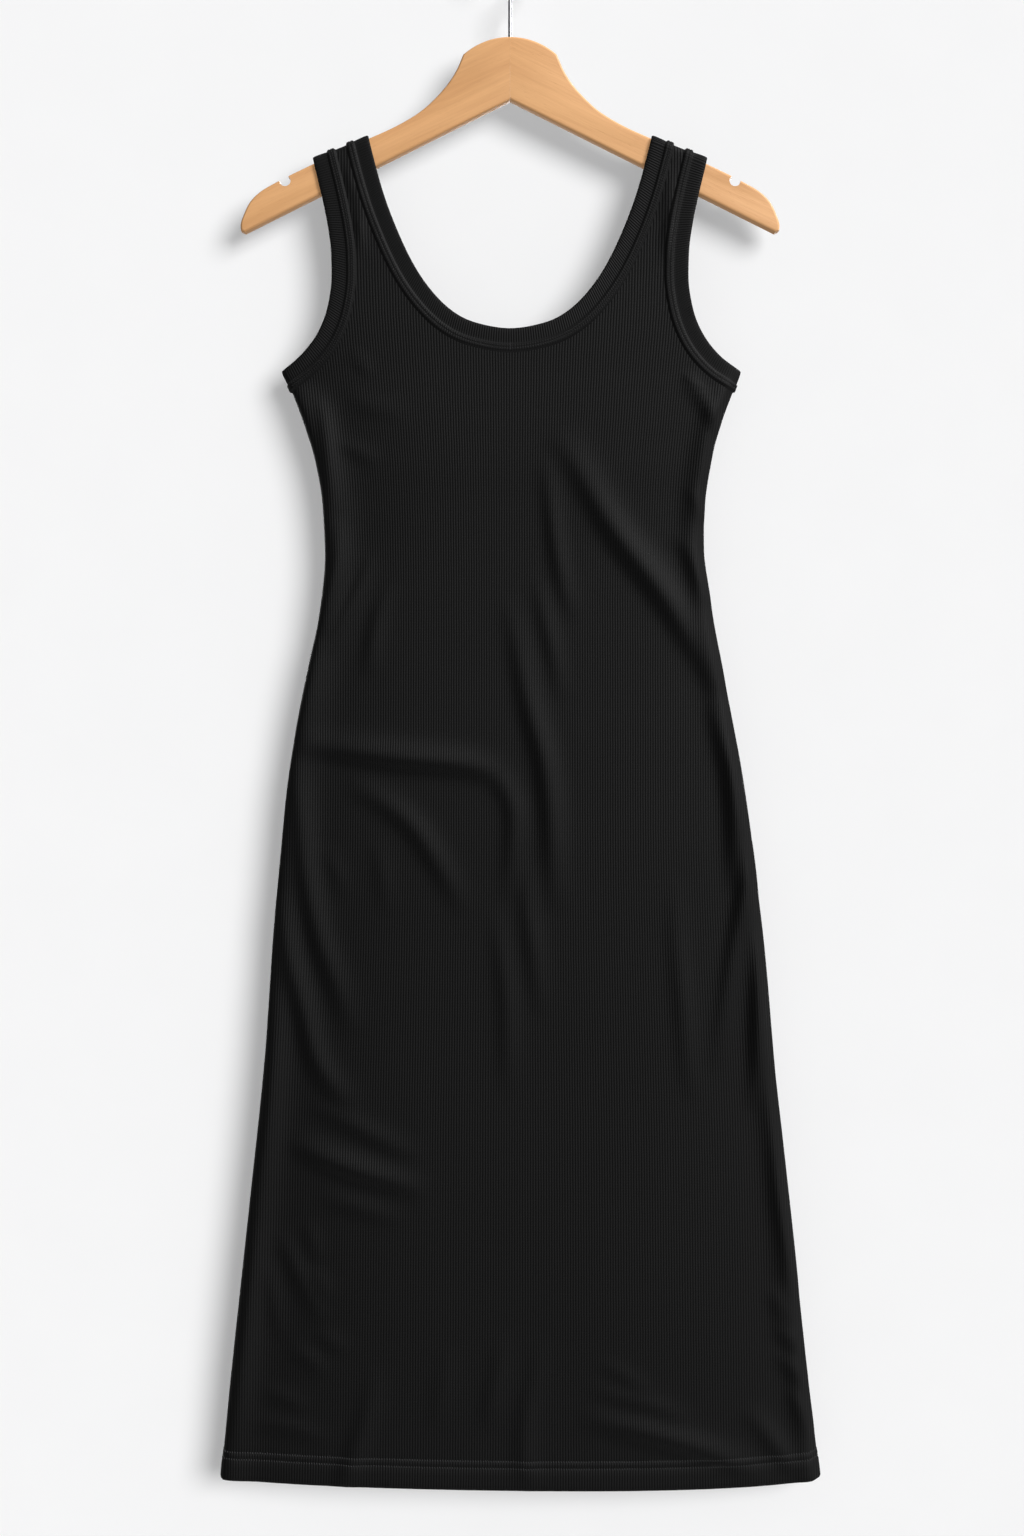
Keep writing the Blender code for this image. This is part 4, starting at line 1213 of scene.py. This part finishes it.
def bored(thing, radius, length, place, turn=(0, 0, 0)):
    """Cuts a round hole out of a thing."""
    select_only()
    bpy.ops.mesh.primitive_cylinder_add(
        vertices=BORE_SIDES, radius=radius * MM, depth=length * MM,
        location=Vector(place) * MM, rotation=turn,
    )
    cutter = bpy.context.object
    applied(thing, "BOOLEAN", operation="DIFFERENCE", object=cutter)
    bpy.data.objects.remove(cutter, do_unlink=True)


class DRESS_OT_hanger_arms(bpy.types.Operator):
    """Makes the two mitred wooden arms of the hanger."""

    bl_idname = "dress.hanger_arms"
    bl_label = "Hanger arms"

    def execute(self, context):
        sizes, colours = context.scene.dress_sizes, context.scene.dress_colours
        for word, side in SIDES.items():
            arm = self.sawn(side)
            arm.name = arm.data.name = f"{word}_arm"
            applied(
                arm, "BEVEL", width=sizes.arm_edge, segments=5, limit_method="WEIGHT",
                harden_normals=False,
            )
            notch = (side * NOTCH_PLACE[0], 0, NOTCH_PLACE[1])
            bored(arm, NOTCH_RADIUS, 2 * ARM_THICKNESS, notch, turn=(math.pi / 2, 0, 0))
            stem = 2 * (STEM_DEPTH + SEAM_GAP)
            bored(arm, WIRE / 2 + STEM_BORE_GAP, stem, (0, 0, HEAD_TOP_Z))
            select_only(arm)
            bpy.ops.object.shade_smooth_by_angle(angle=ARM_SHARP_ANGLE)
            wood = lacquered_wood(
                f"beech_{word}_arm", colours.wood, colours.grain, -side * ARM_SLOPE
            )
            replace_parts(finished(arm, wood), f"hanger_arm_{word}")
            arm.visible_diffuse = False  # so that the wood's colour stays off the wall
        return {"FINISHED"}

    def sawn(self, side):
        """The arm's outline, extruded to its thickness."""
        outline = arm_outline()
        select_only()
        bpy.ops.mesh.primitive_circle_add(vertices=len(outline), fill_type="NGON")
        arm = bpy.context.object
        for corner, (x, z) in zip(arm.data.vertices, outline):
            corner.co = (side * x * MM, -ARM_THICKNESS / 2 * MM, z * MM)
        bpy.ops.object.mode_set(mode="EDIT")
        bpy.ops.mesh.select_all(action="SELECT")
        bpy.ops.mesh.extrude_region_move(
            TRANSFORM_OT_translate={"value": (0, ARM_THICKNESS * MM, 0)}
        )
        bpy.ops.mesh.select_all(action="SELECT")
        bpy.ops.mesh.normals_make_consistent(inside=False)
        bpy.ops.object.mode_set(mode="OBJECT")
        # The edges round both faces are rounded, and those of the mitre stay sharp.
        weights = arm.data.attributes.new("bevel_weight_edge", "FLOAT", "EDGE")
        corners = [corner.co for corner in arm.data.vertices]
        for edge, weight in zip(arm.data.edges, weights.data):
            a, b = (corners[i] for i in edge.vertices)
            on_mitre = max(abs(a.x), abs(b.x)) < MITRE_GAP * MM
            weight.value = float(a.y == b.y and not on_mitre)
        return arm


class DRESS_OT_hanger_hook(bpy.types.Operator):
    """Makes the bent steel wire hook of the hanger."""

    bl_idname = "dress.hanger_hook"
    bl_label = "Hanger hook"

    def execute(self, context):
        select_only()
        way = self.bent()
        bpy.ops.curve.primitive_bezier_curve_add()
        wire = bpy.context.object
        wire.data.splines.clear()
        wire.data.bevel_depth = WIRE / 2 * MM
        wire.data.bevel_resolution = 4
        wire.data.use_fill_caps = True
        line = wire.data.splines.new("POLY")
        line.points.add(len(way) - 1)
        for point, (x, z, thickness) in zip(line.points, way):
            point.co = (x * MM, 0, z * MM, 1)
            point.radius = thickness
        bpy.ops.object.convert(target="MESH")
        wire = bpy.context.object
        wire.name = wire.data.name = "wire_hook"
        applied(wire, "WELD", merge_threshold=0.01 * MM)
        bpy.ops.object.shade_smooth()
        bpy.ops.object.transform_apply(location=True, rotation=True, scale=True)
        steel = drawn_steel("steel_wire_drawn", context.scene.dress_colours.steel)
        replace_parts(finished(wire, steel), "hanger_hook")
        return {"FINISHED"}

    def bent(self):
        """x, z and share of the full radius along the wire, from its foot to its round tip."""

        def on_arc(a):
            return HOOK_RADIUS * math.cos(a), HOOK_RADIUS * math.sin(a) - HOOK_INNER_RADIUS

        join = Vector(on_arc(HOOK_FROM))
        heading = Vector((-math.sin(HOOK_FROM), math.cos(HOOK_FROM)))
        start = Vector((0, BEND_START_Z))
        pull = (join - start).length / 3
        ends = (start, start + Vector((0, pull)), join - heading * pull, join)
        way = [(0, HEAD_TOP_Z - STEM_DEPTH, 1), (0, HEAD_TOP_Z, 1)]
        for k in range(BEND_STEPS):
            t = k / BEND_STEPS
            weights = ((1 - t) ** 3, 3 * t * (1 - t) ** 2, 3 * t * t * (1 - t), t**3)
            x, z = sum((w * p for w, p in zip(weights, ends)), Vector((0, 0)))
            way.append((x, z, 1))
        tip = [(HOOK_TO + (a - 1) * WIRE / 2 / HOOK_RADIUS, r) for a, r in TIP_ROUNDING]
        sweep = np.linspace(HOOK_FROM, tip[0][0], HOOK_STEPS)[:-1]
        return way + [(*on_arc(a), r) for a, r in [*((a, 1) for a in sweep), *tip]]


class DRESS_OT_stage(bpy.types.Operator):
    """Makes the pale wall and floor, the lights and the camera."""

    bl_idname = "dress.stage"
    bl_label = "Stage"

    def execute(self, context):
        stage, colours = context.scene.dress_stage, context.scene.dress_colours
        low, high = CAD_BOX
        wall = self.plane(
            "wall", WALL_WIDTH, (0, high.y + stage.wall_gap, low.z + 1.0), (math.pi / 2, 0, 0),
            backdrop("matt_pale_wall", colours.backdrop, one_sided=True),
        )
        wall.visible_shadow = False
        floor = self.plane(
            "floor", FLOOR_WIDTH, (0, 0, low.z - stage.floor_drop), (0, 0, 0),
            backdrop("matt_pale_floor", colours.floor, one_sided=False),
        )
        for plain in (wall, floor):
            plain.visible_diffuse = plain.visible_glossy = False
        self.light_up(stage)
        context.scene.world = self.surroundings(stage)
        context.scene.view_settings.view_transform = "Standard"
        lens = bpy.data.cameras.new("camera")
        lens.lens = lens.sensor_width / 2 * -stage.camera_place[1] / stage.half_height
        lens.clip_start = 0.05
        camera = linked("camera", lens)
        camera.location = stage.camera_place
        camera.rotation_euler = (math.pi / 2, 0, 0)
        context.scene.camera = camera
        return {"FINISHED"}

    def plane(self, name, size, place, turn, finish):
        select_only()
        bpy.ops.mesh.primitive_plane_add(size=size, location=place, rotation=turn)
        made = bpy.context.object
        made.name = name
        made.data.materials.append(finish)
        return made

    def light_up(self, stage):
        for name, way in SUN_WAYS.items():
            sun = bpy.data.lights.new(name, "SUN")
            sun.energy, sun.angle = getattr(stage, f"{name}_strength"), stage.key_softness
            sun.use_shadow = name == "key"
            self.aim(linked(name, sun), way)
        lamp = bpy.data.lights.new("back", "AREA")
        lamp.energy, lamp.size = stage.back_strength, LAMP_WIDTH
        back = linked("back", lamp)
        back.location = LAMP_PLACE
        self.aim(back, Vector(LAMP_TARGET) - back.location)

    def aim(self, light, way):
        light.rotation_euler = Vector(way).to_track_quat("-Z", "Y").to_euler()

    def surroundings(self, stage):
        """A world that the camera sees as a pale wall, and that lights the dress weakly."""
        nodes = Nodes(bpy.data.worlds.new("studio"))
        shown = nodes.tree.nodes["Background"]
        nodes.feed(shown, {"Color": WHITE, "Strength": WALL_BRIGHTNESS})
        fill = nodes.add("Background", {"Color": WHITE, "Strength": stage.fill_strength})
        seen = nodes.add("LightPath").outputs["Is Camera Ray"]
        choice = nodes.add("MixShader", {0: seen, 1: fill.outputs[0], 2: shown.outputs[0]})
        nodes.feed(nodes.tree.nodes["World Output"], {"Surface": choice.outputs[0]})
        return nodes.owner


class DRESS_PT_sidebar(bpy.types.Panel):
    """Lists the steps, the sizes and the colours."""

    bl_label = "Dress"
    bl_idname = "DRESS_PT_sidebar"
    bl_space_type = "VIEW_3D"
    bl_region_type = "UI"
    bl_category = "Dress"

    def draw(self, context):
        for step in STEPS:
            self.layout.operator(step.bl_idname)
        for group in GROUPS:
            values = getattr(context.scene, group)
            for key in values.__annotations__:
                self.layout.prop(values, key)


GROUPS = {
    "dress_sizes": DressSizes,
    "dress_colours": DressColours,
    "dress_stage": StageSettings,
}
STEPS = (
    DRESS_OT_hanger_arms,
    DRESS_OT_hanger_hook,
    DRESS_OT_panels,
    DRESS_OT_bands,
    DRESS_OT_stitching,
    DRESS_OT_stage,
)


def register():
    for name, group in GROUPS.items():
        bpy.utils.register_class(group)
        setattr(bpy.types.Scene, name, bpy.props.PointerProperty(type=group))
    for made in (*STEPS, DRESS_PT_sidebar):
        bpy.utils.register_class(made)


def unregister():
    for made in (DRESS_PT_sidebar, *reversed(STEPS)):
        bpy.utils.unregister_class(made)
    for name, group in GROUPS.items():
        delattr(bpy.types.Scene, name)
        bpy.utils.unregister_class(group)


def main():
    register()
    for step in STEPS:
        group, name = step.bl_idname.split(".")
        getattr(getattr(bpy.ops, group), name)()


if __name__ == "__main__":
    main()
